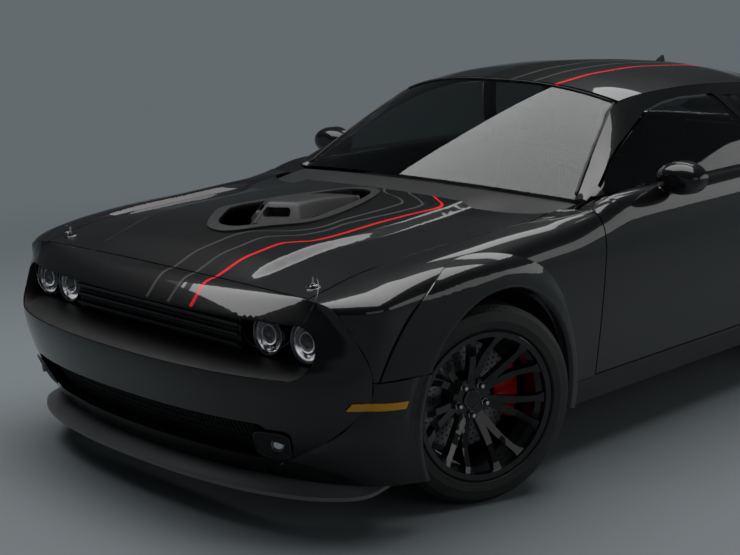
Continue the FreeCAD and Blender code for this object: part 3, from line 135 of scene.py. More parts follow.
class Graph:
    # a material under construction
    def __init__(self, name):
        self.material = bpy.data.materials.new(name)
        self.material.use_nodes = True
        self.tree = self.material.node_tree
        self.tree.nodes.clear()

    def node(self, kind, settings=None, inputs=None, output=0):
        made = self.tree.nodes.new(kind)
        for key, value in (settings or {}).items():
            if key == "curve":
                line = made.mapping.curves[0]
                while len(line.points) < len(value):
                    line.points.new(0.5, 0.5)
                for point, spot in zip(line.points, value):
                    point.location = spot
                made.mapping.update()
            else:
                setattr(made, key, value)
        for key, value in (inputs or {}).items():
            self.feed(made.inputs[key], value)
        return Wire(self, made.outputs[output]) if made.outputs else None

    def feed(self, socket, value):
        if isinstance(value, Wire):
            self.tree.links.new(value.socket, socket)
        else:
            socket.default_value = value

    def sum(self, operation, *values):
        return self.node("ShaderNodeMath", {"operation": operation}, dict(enumerate(values)))

    def smooth(self, value, low, high):
        # 0 below low, 1 above high, eased between
        return self.node("ShaderNodeMapRange", {"interpolation_type": "SMOOTHSTEP"},
                         {"Value": value, "From Min": low, "From Max": high})

    def blend(self, factor, first, second):
        return self.node("ShaderNodeMix", {"data_type": "RGBA"}, {0: factor, 6: first, 7: second}, output=2)

    def place(self):
        return self.node("ShaderNodeTexCoord", output=3)

    def split(self, vector):
        made = self.node("ShaderNodeSeparateXYZ", None, {0: vector})
        outputs = made.socket.node.outputs
        return [Wire(self, outputs[i]) for i in range(3)]

    def noise(self, scale, detail=2.0):
        return self.node("ShaderNodeTexNoise", None,
                         {"Vector": self.place(), "Scale": scale, "Detail": detail})

    def bump(self, height, strength, distance=0.001):
        return self.node("ShaderNodeBump", None,
                         {"Height": height, "Strength": strength, "Distance": distance})

    def finish(self, **inputs):
        # the shader and its output; names are Base_Color for "Base Color"
        named = {key.replace("_", " "): value for key, value in inputs.items()}
        shader = self.node("ShaderNodeBsdfPrincipled", None, named)
        self.node("ShaderNodeOutputMaterial", None, {"Surface": shader})
        return self.material


def wear(graph, low, high, scale=9.0):
    # roughness that wanders a little over a surface
    return low + (high - low) * graph.noise(scale, 3.0)


def grey(level):
    return (level, level, level, 1)


def shade(colour, share):
    # a darker or lighter tone of a colour
    return tuple(c * share for c in colour[:3]) + (1,)


# stripes over the header, hood, roof and trunk lid: places (y, x) in metres
stripeLines = {
    "left": ((-2.50, -0.080), (-2.40, -0.082), (-2.27, -0.097), (-2.14, -0.098), (-2.02, -0.080),
             (-1.95, -0.053), (-1.90, -0.040), (-1.10, -0.060), (-0.40, -0.085), (1.10, -0.085),
             (2.50, -0.085)),
    "pinOne": ((-2.50, 0.092), (-2.40, 0.087), (-2.27, 0.053), (-2.19, 0.050), (-2.10, 0.078),
               (-2.02, 0.096), (-1.965, 0.128), (-1.91, 0.231), (-1.85, 0.295), (-1.78, 0.317),
               (-1.65, 0.300), (-1.40, 0.292), (-1.32, 0.284), (-1.286, 0.260), (-1.234, 0.172),
               (-1.183, 0.067), (-1.12, 0.034), (-0.40, 0.085), (1.10, 0.085), (2.50, 0.085)),
    "pinTwo": ((-2.50, 0.207), (-2.40, 0.202), (-2.275, 0.178), (-2.19, 0.174), (-2.08, 0.205),
               (-2.00, 0.222), (-1.95, 0.276), (-1.882, 0.350), (-1.80, 0.366), (-1.70, 0.352),
               (-1.575, 0.358), (-1.40, 0.370), (-1.30, 0.366), (-1.243, 0.315), (-1.191, 0.235),
               (-1.148, 0.169), (-1.06, 0.120), (-0.40, 0.200), (1.10, 0.200), (2.50, 0.200)),
    "red": ((-2.50, 0.321), (-2.40, 0.316), (-2.27, 0.284), (-2.18, 0.289), (-2.09, 0.315),
            (-2.004, 0.338), (-1.963, 0.385), (-1.898, 0.436), (-1.83, 0.443), (-1.70, 0.437),
            (-1.58, 0.429), (-1.44, 0.430), (-1.34, 0.436), (-1.28, 0.438), (-1.236, 0.421),
            (-1.197, 0.374), (-1.158, 0.318), (-1.053, 0.225), (-0.40, 0.310), (1.10, 0.310),
            (2.50, 0.310)),
}
stripe = {"redHalf": 0.0075, "pinHalf": 0.0065, "mainEnd": 0.16, "gapEnd": 0.30, "satinEnd": 0.58,
          "lowest": 0.735, "edge": 0.0008, "reach": 2.5, "shift": 0.5, "satin": grey(0.0035),
          "pin": (0.060, 0.062, 0.064, 1), "red": (0.90, 0.010, 0.014, 1), "rough": 0.46,
          "coatLoss": 0.90, "redCoat": 0.5}


def lineAt(g, y, name):
    # x of one stripe line at a place along the car
    reach, shift = stripe["reach"], stripe["shift"]
    spots = [((place + reach) / (2 * reach), x + shift) for place, x in stripeLines[name]]
    share = (y + reach) / (2 * reach)
    return g.node("ShaderNodeFloatCurve", {"curve": spots}, {"Factor": 1.0, "Value": share}) - shift


def stripes(g, base, rough):
    x, y, z = g.split(g.place())
    left, one, two, red = [lineAt(g, y, name) for name in ("left", "pinOne", "pinTwo", "red")]
    share = (x - two) / (red - two)

    def near(line, half):
        return 1.0 - g.smooth(abs(x - line), half - stripe["edge"], half + stripe["edge"])

    band = (x > left) * (share < stripe["mainEnd"])
    thin = (share > stripe["gapEnd"]) * (share < stripe["satinEnd"])
    above = z > stripe["lowest"]
    satin = (band + thin) * above
    pins = g.sum("MAXIMUM", near(one, stripe["pinHalf"]), near(two, stripe["pinHalf"])) * above
    redMask = near(red, stripe["redHalf"]) * above
    base = g.blend(satin, base, stripe["satin"])
    base = g.blend(pins, base, stripe["pin"])
    base = g.blend(redMask, base, stripe["red"])
    covered = g.sum("MAXIMUM", satin, g.sum("MAXIMUM", pins, redMask))
    rough = rough + (stripe["rough"] - rough) * covered
    coat = 1.0 - stripe["coatLoss"] * covered + stripe["redCoat"] * redMask
    return base, rough, coat


# finishes
paintSet = {"dark": (0.0035, 0.0035, 0.004, 1), "flake": (0.012, 0.012, 0.014, 1), "flakeScale": 2600,
            "flakes": (0.56, 0.74), "rough": (0.30, 0.40, 7.0), "peelScale": 240, "peel": (0.03, 0.0004)}
dustSet = {"scale": 5.0, "from": 0.45, "to": 0.8}


def glossPaint(name, stripes=None):
    g, p = Graph(name), paintSet
    flake = g.noise(p["flakeScale"], 1.0)
    base = g.blend(g.smooth(flake, *p["flakes"]), p["dark"], p["flake"])
    rough = wear(g, *p["rough"])
    coat = 1.0
    if stripes:
        base, rough, coat = stripes(g, base, rough)
    return g.finish(Base_Color=base, Roughness=rough, Specular_IOR_Level=0.1, Coat_Weight=coat,
                    Coat_Roughness=0.025, Normal=g.bump(g.noise(p["peelScale"]), *p["peel"]))


def satinPlastic(name, colour, low=0.42, high=0.56, grain=1400, strength=0.12, coat=0.0):
    g = Graph(name)
    base = g.blend(g.noise(6.0, 3.0), shade(colour, 0.8), shade(colour, 1.2))
    return g.finish(Base_Color=base, Roughness=wear(g, low, high), Coat_Weight=coat,
                    Normal=g.bump(g.noise(grain), strength, 0.0004))


def metal(name, colour, low, high, metallic=1.0, grain=900, strength=0.08):
    g = Graph(name)
    base = g.blend(g.noise(14.0, 4.0), shade(colour, 0.85), colour)
    return g.finish(Base_Color=base, Metallic=metallic, Roughness=wear(g, low, high, 20.0),
                    Normal=g.bump(g.noise(grain), strength, 0.0003))


def lens(name, colour, rib, transmission=0.0):
    g = Graph(name)
    x, y, z = g.split(g.place())
    ribs = g.sum("SINE", (x + y) * rib)
    return g.finish(Base_Color=g.blend(g.smooth(ribs, -1, 1), shade(colour, 0.7), colour), IOR=1.49,
                    Roughness=0.08, Transmission_Weight=transmission, Normal=g.bump(ribs, 0.25))


def glassPane(name, colour):
    g = Graph(name)
    film = g.blend(g.noise(3.0), colour, shade(colour, 0.9))
    return g.finish(Base_Color=film, Roughness=0.0, Transmission_Weight=1.0, IOR=1.45)


def dusty(g, clean, dust):
    # a dark surface with dust in soft patches
    patches = g.noise(dustSet["scale"], 5.0)
    return g.blend(g.smooth(patches, dustSet["from"], dustSet["to"]), clean, dust)


def rubber(name):
    g = Graph(name)
    return g.finish(Base_Color=dusty(g, grey(0.009), (0.020, 0.019, 0.018, 1)),
                    Roughness=wear(g, 0.45, 0.66, 12.0), Normal=g.bump(g.noise(700, 3.0), 0.18, 0.0005))


def leather(name):
    g = Graph(name)
    grain = g.node("ShaderNodeTexVoronoi", {"feature": "DISTANCE_TO_EDGE"},
                   {"Vector": g.place(), "Scale": 420.0})
    base = g.blend(g.noise(8.0, 3.0), (0.012, 0.012, 0.013, 1), (0.022, 0.021, 0.021, 1))
    return g.finish(Base_Color=base, Roughness=wear(g, 0.42, 0.58),
                    Normal=g.bump(g.smooth(grain, 0.0, 0.12), 0.3, 0.0006))


paint = glossPaint("glossBlackPaint")
finishes = {
    "gloss_black_paint": paint,
    "satin_black": satinPlastic("satinBlack", (0.016, 0.016, 0.017), 0.40, 0.52),
    "grille_black": satinPlastic("grilleBlack", grey(0.006), 0.35, 0.5),
    "lamp_glass": metal("lampBowl", (0.05, 0.05, 0.055, 1), 0.12, 0.25),
    "red_lens": lens("redLens", (0.35, 0.008, 0.006, 1), 500.0, 0.2),
    "amber_lens": lens("amberLens", (0.95, 0.42, 0.01, 1), 700.0),
    "tinted_glass": glassPane("tintedGlass", (0.30, 0.32, 0.32, 1)),
    "black_wheel_paint": glossPaint("blackWheelPaint"),
    "tyre_rubber": rubber("tyreRubber"),
    "brake_steel": metal("brakeSteel", (0.42, 0.42, 0.43, 1), 0.24, 0.4),
    "caliper_red": satinPlastic("caliperRed", (0.42, 0.006, 0.006), 0.25, 0.35, coat=0.6),
    "chassis_black": satinPlastic("chassisBlack", grey(0.010), 0.55, 0.75),
    "engine_grey": metal("engineGrey", grey(0.10), 0.4, 0.6, 0.4),
    "bright_steel": metal("brightSteel", (0.62, 0.62, 0.63, 1), 0.12, 0.25),
    "cabin_black": satinPlastic("cabinBlack", grey(0.012), 0.55, 0.72, 900, 0.25),
    "seat_leather": leather("seatLeather"),
}

slotOf = {part["node"]: part["material_slot"] for part in frame["record"]["subparts"]}
for name, obj in nodes.items():
    obj.data.materials.clear()
    obj.data.materials.append(finishes[slotOf[name]])
# the splitter is satin black; its pale grey colour is a painted sheen for the overhead light it reflects
nodes["splitter"].data.materials[0] = satinPlastic("splitterPaintedSheen", (0.17, 0.17, 0.173), 0.36, 0.48)
striped = glossPaint("stripedPaint", stripes)
for name in ("hood", "front_fascia", "roof", "decklid"):
    nodes[name].data.materials[0] = striped
print("finishes:", len(finishes))


def along(*keys):
    # a smooth line through (place, value) pairs, level beyond both ends
    places = [k[0] for k in keys]
    values = [k[1] for k in keys]
    last = len(keys) - 1
    rises = [(values[i + 1] - values[i]) / (places[i + 1] - places[i]) for i in range(last)]
    slopes = [rises[0]]
    for before, after in zip(rises, rises[1:]):
        slopes.append(0.0 if before * after <= 0 else 2.0 * before * after / (before + after))
    slopes.append(rises[-1])

    def value(place):
        if place <= places[0]:
            return values[0]
        if place >= places[last]:
            return values[last]
        i = 0
        while place > places[i + 1]:
            i += 1
        span = places[i + 1] - places[i]
        t = (place - places[i]) / span
        start = values[i] * (1 + 2 * t) * (1 - t) ** 2 + values[i + 1] * t * t * (3 - 2 * t)
        return start + span * (slopes[i] * t * (1 - t) ** 2 + slopes[i + 1] * t * t * (t - 1))
    return value


def mix(a, b, t):
    return a + (b - a) * t


def ease(low, high, value):
    t = min(1.0, max(0.0, (value - low) / (high - low)))
    return t * t * (3 - 2 * t)


def hingeBend(distance):
    return 0.5 * (distance + math.sqrt(distance * distance + 100.0))


def rounding(ratio, power):
    return max(0.0, 1.0 - min(1.0, abs(ratio)) ** power) ** (1.0 / power)


# the body's lines, as the frame's source has them, in millimetres
waistX = along((-2300, 952), (-2050, 962), (-1560, 967), (-900, 967), (600, 968), (1390, 976),
               (1900, 970), (2500, 950))
creaseZ = along((-2300, 770), (-1330, 808), (-957, 820), (94, 844), (1400, 872), (2450, 884))
hoodEdgeX = along((-2262, 741), (-1000, 772))
hoodEdgeZ = along((-2262, 803), (-1980, 862), (-1622, 888), (-1290, 906), (-1080, 934), (-1000, 952))
hoodCentreZ = along((-2262, 810), (-2100, 858), (-1893, 904), (-1500, 932), (-1130, 958))
hoodRidgeX = along((-2262, 432), (-1700, 500), (-1150, 462))
crestX = along((-2262, 762), (-1500, 775), (-1150, 800), (-905, 872), (600, 872), (1100, 868),
               (1600, 860), (2450, 850))
crestZ = along((-2262, 800), (-2126, 836), (-1985, 868), (-1790, 893), (-1520, 911), (-1295, 927),
               (-1080, 940), (-980, 948), (-905, 958), (-823, 981), (-740, 999), (0, 1020), (600, 1036),
               (1050, 1064), (1400, 1082), (2450, 1074))
roofCentreZ = along((-390, 1394), (-100, 1434), (250, 1450), (700, 1440), (1060, 1406))
frameTopX = along((-848, 781), (-313, 598), (250, 624), (700, 614), (1060, 574), (1572, 648))
frameTopZ = along((-848, 970), (-600, 1140), (-313, 1316), (-100, 1348), (250, 1364),
                  (700, 1354), (1060, 1322), (1572, 1104))
noseMiddleY = along((180, -2350), (250, -2388), (400, -2462), (555, -2495), (640, -2462), (733, -2404))
noseFlankY = along((180, -1990), (400, -2060), (555, -2080), (800, -2080))
nosePower = along((180, 2.1), (400, 2.3), (733, 2.4))
tailMiddleY = along((240, 2440), (420, 2490), (600, 2506), (800, 2470), (1000, 2450), (1120, 2425))
seamY = along((296, -2287), (378, -2233), (458, -2188), (490, -2165), (554, -2165), (666, -2205),
              (745, -2238), (800, -2258))
flareReach = along((-14, 452), (-6, 454), (20, 482), (62, 514), (95, 537), (120, 573), (138, 597),
                   (160, 611), (185, 622), (212, 590))


def flankX(y, z):
    over = z - creaseZ(y)
    below = hingeBend(-over)
    width = waistX(y) - 0.12 * hingeBend(over) - 0.022 * below - 0.00008 * below * below
    if y < noseFlankY(z):
        flank = noseFlankY(z)
        width *= rounding((flank - y) / (flank - noseMiddleY(z)), nosePower(z))
    if y > 2080:
        width *= rounding((y - 2080) / (tailMiddleY(z) - 2080), 3.2)
    return width


def flankPoint(y, s, innerX, innerZ, bottomZ):
    topZ = crestZ(y)
    turnZ = creaseZ(y) - 6.0
    turnX = flankX(y, turnZ)
    lipX = min(crestX(y), turnX - 60.0)
    if s <= 1.0:
        return (mix(innerX, lipX, s), y, mix(innerZ, topZ, s))
    if s <= 2.0:
        angle = (s - 1.0) * math.pi / 2
        across, up = math.sin(angle) ** 0.84, max(0.0, math.cos(angle)) ** 0.84
        lean = 0.10 * (topZ - turnZ) * up * (1 - up)
        return (mix(lipX, turnX, across) - lean, y, mix(turnZ, topZ, up))
    z = mix(turnZ, bottomZ, s - 2.0)
    return (flankX(y, z), y, z)


def hoodSkin(x, y):
    share = min(1.0, abs(x) / hoodEdgeX(y))
    crown = (hoodCentreZ(y) - hoodEdgeZ(y)) * (1 - share ** 2.4)
    ridge = hoodRidgeX(y)
    band = 22.0 * ease(-2258, -2088, y) * (1 - ease(ridge - 28, ridge + 28, abs(x)))
    return hoodEdgeZ(y) + crown + band


def hoodRearY(x):
    return -1148.0 + 128.0 * (abs(x) / 772.0) ** 5


def headerEdge(share):
    innerX, innerZ, hoodY = hoodEdgeX(-2258), hoodEdgeZ(-2258), -2258.0
    if share <= 0.8:
        x = crestX(hoodY) * share / 0.8
        return (x, hoodY, hoodSkin(x, hoodY) - (innerZ - crestZ(hoodY)) * ease(innerX, crestX(hoodY), x))
    s = mix(1.0, 2.15, (share - 0.8) / 0.2)
    return flankPoint(seamY(flankPoint(hoodY, s, innerX, innerZ, 318)[2]), s, innerX, innerZ, 318)


def noseShape(share, row):
    middleZ = mix(733, 555, row - 1) if row <= 2 else mix(555, 180, row - 2)
    edgeZ = mix(655, 548, row - 1) if row <= 2 else mix(548, 180, row - 2)
    power, flank = nosePower(middleZ), noseFlankY(middleZ)
    depth = flank - noseMiddleY(middleZ)
    endRatio = min(0.98, max(0.02, (flank - seamY(edgeZ)) / depth))
    angle = share * math.acos(endRatio ** (power / 2))
    width = math.sin(angle) ** (2 / power) if angle > 0 else 0.0
    z = middleZ - (middleZ - edgeZ) * width ** 10
    under = hingeBend(creaseZ(flank) - z)
    side = waistX(flank) - 0.022 * under - 0.00008 * under ** 2
    return (side * width, flank - depth * math.cos(angle) ** (2 / power), z)


def noseLine(share, row):
    if row >= 1.0:
        return noseShape(share, row)
    top, lip, flat = headerEdge(share), noseShape(share, 1.0), ease(0.6, 0.92, share)
    return (mix(top[0], lip[0], row), mix(top[1], lip[1], row ** mix(0.72, 1.0, flat)),
            mix(top[2], lip[2], row ** mix(1.5, 1.0, flat)))


def nosePoint(share, row):
    side, share = (-1 if share < 0 else 1), abs(share)
    end, point = noseLine(1.0, row), noseLine(share, row)
    seam = (flankX(seamY(end[2]), end[2]), seamY(end[2]), end[2])
    x, y, z = (p + (a - b) * share ** 8 for p, a, b in zip(point, seam, end))
    return (side * x, y, z)


def flarePoint(axleY, share, across, turn):
    centreZ = 353.0
    if turn > 0:
        ends = along((0, 400), (1, 426), (2, 462), (3, flareReach(160)))
        last = 180 - math.degrees(math.asin((548.0 - centreZ) / ends(across)))
        angle = mix(-14, last, share)
        reach = flareReach(angle)
    else:
        angle = mix(-8, 190, share)
        reach = flareReach(min(95.0, 180.0 - angle))
    radius = along((0, 400), (1, 426), (2, 462), (3, reach))(across)
    a = math.radians(angle)
    y = axleY + radius * math.cos(a)
    z = max(213.0, centreZ + radius * math.sin(a))
    body = flankX(y, min(z, creaseZ(y) - 6))
    if z > creaseZ(y) - 6:
        rise = min(0.999, (z - creaseZ(y) + 6) / (crestZ(y) - creaseZ(y) + 6))
        body = mix(crestX(y), body, max(0.0, 1 - rise ** (1 / 0.42)) ** 0.42)
    face = max(1000.0 - 10.0 * abs(math.cos(a)), body + 8)
    return (along((0, face - 30), (1, face), (2, face - 5), (3, body + 6))(across), y, z)


def lowFlarePoint(z, across):
    drop = 353.0 - z
    lipY = -1560.0 - math.sqrt(400.0 ** 2 - drop * drop)
    if across <= 2.0:
        out = along((0, 968), (1, 996), (1.4, 998), (2, 990))
        return (out(across), lipY - along((0, 0), (1, 26), (2, 62))(across), z)
    t = across - 2.0
    end = nosePoint(1.0, 2.0 + (548.0 - z) / 368.0)
    end = (end[0] + 1.2, end[1] + 1.2)
    start = (990, lipY - 62)
    bend = (mix(end[0], start[0], 0.86), mix(end[1], start[1], 0.30))
    return tuple(a * (1 - t) ** 2 + b * 2 * t * (1 - t) + c * t * t
                 for a, b, c in zip(start, bend, end)) + (z,)


def roofPoint(u, v):
    a = abs(u)
    y = mix(-385 + 74 * a * a, 1063 - 20 * a * a, v)
    return (u * (frameTopX(y) - 3), y, roofCentreZ(y) - 84.0 * a ** 2.6)


def framePoint(y, v):
    low = (crestX(y) - 10 - 52 * ease(-700, -850, y), crestZ(y) - 24)
    swell = 80 * max(0.0, v) * (1 - v)
    return (mix(low[0], frameTopX(y), v) + 0.8 * swell, y, mix(low[1], frameTopZ(y), v) + 0.6 * swell)


def deckPoint(u, y):
    return (u * 668, y, crestZ(y) + 8 + 14 * (1 - abs(u) ** 2.5))


def tailPoint(u, v):
    z = mix(262, 1066, min(v, 1.0))
    depth = tailMiddleY(z) - 2080
    angle = abs(u) * math.acos(((2237.75 - 2080) / depth) ** 1.6)
    y = 2080 + depth * math.cos(angle) ** (2 / 3.2)
    width = math.sin(angle) ** (2 / 3.2) if angle else 0.0
    over = z - creaseZ(2080)
    side = waistX(2080) - 0.12 * hingeBend(over) - 0.022 * hingeBend(-over)
    side -= 0.00008 * hingeBend(-over) ** 2 + 60 * ease(930, 1070, z)
    overTop = max(0.0, v - 1.0)
    x = math.copysign(side * width, u) * (1 - 0.26 * overTop)
    y = mix(y, 2237.75 + 0.12 * (y - 2235), overTop)
    return (x, y, z + 12 * math.sin(overTop * math.pi / 2))


def windscreenPoint(u, v):
    a = abs(u)
    low = Vector((u * 771, -950 + 110 * a ** 2.2, 1000 - 32 * a * a))
    high = Vector((u * 588, -388 + 74 * a * a, 1394 - 78 * a ** 2.6))
    swell = 4 * v * (1 - v) * 16
    return low + (high - low) * v + Vector((0, -0.6 * swell, 0.8 * swell))


def rearGlassPoint(u, v):
    a = abs(u)
    high = Vector((u * 562, 1066 - 20 * a * a, 1404 - 80 * a ** 2.6))
    low = Vector((u * 636, 1566 - 40 * a * a, 1112 - 20 * a * a))
    swell = 4 * v * (1 - v) * 14
    return high + (low - high) * v + Vector((0, 0.5 * swell, 0.86 * swell))


# the painted panels' shading follows their exact surfaces, so that reflections stay clean
skinSet = {"nearest": 0.0012, "agree": 0.88, "glass": 5.0 * mm}


def vectors(items, key="co"):
    # one vector of each item as the rows of an array
    values = np.zeros(len(items) * 3)
    items.foreach_get(key, values)
    return values.reshape(-1, 3)


def skinGrid(place, us, vs):
    points = np.array([[place(u, v) for v in vs] for u in us], dtype=float) * mm
    alongU = np.gradient(points, axis=0)
    alongV = np.gradient(points, axis=1)
    normals = np.cross(alongU, alongV)
    normals /= np.maximum(np.linalg.norm(normals, axis=2, keepdims=True), 1e-12)
    return points, normals


def spaced(low, high, count):
    return [low + (high - low) * i / (count - 1) for i in range(count)]


class Skin:
    # fine grids of exact surface points with their normals, searched by nearness
    def __init__(self, *grids):
        spots, faces, self.corners, base = [], [], [], 0
        for points, normals in grids:
            rows, columns = points.shape[:2]
            spots.extend(points.reshape(-1, 3).tolist())
            for i in range(rows - 1):
                for j in range(columns - 1):
                    a = base + i * columns + j
                    faces.append((a, a + 1, a + columns + 1, a + columns))
            base += rows * columns
        self.spots = np.array(spots)
        self.normals = np.concatenate([n.reshape(-1, 3) for _, n in grids])
        self.faces = faces
        self.tree = BVHTree.FromPolygons(spots, faces, all_triangles=False)

    def normal(self, spot):
        found, _, index, _ = self.tree.find_nearest(spot, skinSet["nearest"])
        if found is None:
            return None
        a, b, c, d = self.faces[index]
        origin = self.spots[a]
        first, second, reach = self.spots[b] - origin, self.spots[d] - origin, np.array(found) - origin
        s = min(1.0, max(0.0, float(reach @ first) / max(float(first @ first), 1e-16)))
        t = min(1.0, max(0.0, float(reach @ second) / max(float(second @ second), 1e-16)))
        n = self.normals
        blend = (n[a] * (1 - s) + n[b] * s) * (1 - t) + (n[d] * (1 - s) + n[c] * s) * t
        return blend / max(float(np.linalg.norm(blend)), 1e-12)


def polish(name, skin):
    # gives a panel's outer skin the exact normals and leaves its edges and inside as they are
    mesh = nodes[name].data
    normals = vectors(mesh.corner_normals, "vector")
    exact = {}
    for vertex in mesh.vertices:
        value = skin.normal(vertex.co)
        if value is not None:
            exact[vertex.index] = value
    for face in mesh.polygons:
        flat = np.array(face.normal)
        for loop in face.loop_indices:
            value = exact.get(mesh.loops[loop].vertex_index)
            if value is None:
                continue
            turn = float(value @ flat)
            if abs(turn) > skinSet["agree"]:
                normals[loop] = value if turn > 0 else -value
    mesh.normals_split_custom_set(normals.tolist())


def mirrored(grids):
    flip = np.array([-1.0, 1.0, 1.0])
    return [(points * flip, normals * flip) for points, normals in grids]


def polishSides(grids, *names):
    # the same skins on the left and, mirrored, on the right
    for side, found in (("left", Skin(*grids)), ("right", Skin(*mirrored(grids)))):
        for name in names:
            polish(name + "_" + side, found)


def railPlace(v, t):
    return framePoint(-835 + t * 2395, v)


def hoodPlace(x, v):
    y = -2262.0 + v * (hoodRearY(x) + 2262.0)
    return (x, y, hoodSkin(x, y))


def fenderPlace(s, t):
    guess = flankPoint(-2258.0, s, 0, 0, 318)[2]
    front = seamY(guess) if s > 1 else -2258.0
    y = front + t * (-912.0 - front)
    return flankPoint(y, s, hoodEdgeX(y), hoodEdgeZ(y), 318.3)


def sidePlace(s, t):
    y = -912.0 + t * (2236.0 + 912.0)
    return flankPoint(y, s, crestX(y), crestZ(y), 318)


def polishGlass(rail):
    thick = skinSet["glass"]
    for name, place in (("windscreen", windscreenPoint), ("rear_glass", rearGlassPoint)):
        points, normals = skinGrid(place, spaced(-1, 1, 161), spaced(0, 1, 81))
        polish(name, Skin(*[(points + normals * lift, normals) for lift in (0.0, thick, -thick)]))
    panes = [rail, (rail[0] - np.array([thick, 0, 0]), rail[1])]
    polishSides(panes, "door_glass")
    polish("quarter_glass", Skin(*panes, *mirrored(panes)))


def polishBody(rail):
    ahead, whole = spaced(0, 1, 121), spaced(-1, 1, 121)
    polish("front_fascia", Skin(skinGrid(nosePoint, spaced(-1, 1, 241), spaced(0, 3, 121))))
    polish("hood", Skin(skinGrid(hoodPlace, spaced(-775, 775, 241), ahead)))
    polish("roof", Skin(skinGrid(roofPoint, whole, ahead)))
    polish("decklid", Skin(skinGrid(deckPoint, whole, spaced(1578, 2405, 81))))
    polish("rear_fascia", Skin(skinGrid(tailPoint, spaced(-1, 1, 161), spaced(0, 2, 121))))
    fender = skinGrid(fenderPlace, spaced(0, 1, 12) + spaced(1.02, 2, 60) + spaced(2.02, 3, 60),
                      spaced(0, 1, 90))
    polishSides([fender], "fender")
    side = skinGrid(sidePlace, spaced(1, 2, 70) + spaced(2.02, 3, 70), spaced(0, 1, 200))
    polishSides([side, rail], "body_side", "door")
    flares = [skinGrid(lambda share, across: flarePoint(axle, share, across, turn), ahead, spaced(0, 3, 61))
              for axle, turn in ((-1560.0, 1), (1390.0, -1))]
    flares.append(skinGrid(lowFlarePoint, spaced(182, 544, 41), spaced(0, 3, 61)))
    polish("arch_flares", Skin(*flares, *mirrored(flares)))


sideRail = skinGrid(railPlace, spaced(-0.11, 1, 50), spaced(0, 1, 150))
polishGlass(sideRail)
polishBody(sideRail)
print("panels polished")


# small mesh pieces that ride on the car
def meshOf(name, parts):
    # one mesh from several (spots, faces) pairs
    spots, faces = [], []
    for more, sides in parts:
        base = len(spots)
        spots.extend(tuple(spot) for spot in more)
        faces.extend(tuple(base + i for i in side) for side in sides)
    mesh = bpy.data.meshes.new(name)
    mesh.from_pydata(spots, [], faces)
    mesh.update()
    return mesh


def piece(name, parts, body, material, smooth=True):
    mesh = meshOf(name, parts)
    obj = bpy.data.objects.new(name, mesh)
    scene.collection.objects.link(obj)
    mesh.materials.append(material)
    mesh.polygons.foreach_set("use_smooth", [smooth] * len(mesh.polygons))
    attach(obj, body)
    return obj


def capped(rings):
    # faces from ring to ring of spots, closed across the last one
    count, last, faces = len(rings[0]), len(rings) - 1, []
    for k in range(last):
        for i in range(count):
            j = (i + 1) % count
            faces.append((k * count + i, k * count + j, (k + 1) * count + j, (k + 1) * count + i))
    faces.append(tuple(last * count + i for i in range(count)))
    return [spot for ring in rings for spot in ring], faces


def turns(count):
    return [2 * math.pi * i / count for i in range(count)]


def lathe(profile, centre, axis, count=48):
    # profile of (radius, distance along the axis) turned round it, both in metres
    axis = Vector(axis).normalized()
    side = axis.orthogonal().normalized()
    other = axis.cross(side)
    spots, faces, rows = [], [], len(profile)
    for a in turns(count):
        out = side * math.cos(a) + other * math.sin(a)
        spots.extend(Vector(centre) + out * r + axis * d for r, d in profile)
    for i in range(count):
        j = (i + 1) % count
        for k in range(rows - 1):
            faces.append((i * rows + k, j * rows + k, j * rows + k + 1, i * rows + k + 1))
    return spots, faces


def domed(radius, bulge, back, count):
    # the profile of a round cap that swells out over its rim
    angles = spaced(math.pi / 2, 0.002, count)
    return [(radius * math.sin(a), bulge * math.cos(a) + back) for a in angles]


def tube(points, radius, sides=8, closed=False, flat=1.0, up=(0, 0, 1)):
    # a bar of oval section along a line of points
    points = [Vector(p) for p in points]
    spots, faces, count = [], [], len(points)
    for i, point in enumerate(points):
        before = points[i - 1] if closed or i else point
        after = points[(i + 1) % count] if closed or i < count - 1 else point
        way = (after - before).normalized()
        across = way.cross(Vector(up)).normalized()
        rise = across.cross(way)
        spots.extend(point + across * radius * math.cos(a) + rise * radius * flat * math.sin(a)
                     for a in turns(sides))
    for i in range(count if closed else count - 1):
        j = (i + 1) % count
        for k in range(sides):
            m = (k + 1) % sides
            faces.append((i * sides + k, i * sides + m, j * sides + m, j * sides + k))
    if not closed:
        faces.append(tuple(range(sides - 1, -1, -1)))
        faces.append(tuple((count - 1) * sides + k for k in range(sides)))
    return spots, faces


def noseY(x, z):
    # the nose cover's place at a spot seen from ahead, in millimetres
    low, high = noseMiddleY(z), noseFlankY(z)
    return mix(high, low, rounding(x / (waistX(high) - 6), nosePower(z)))


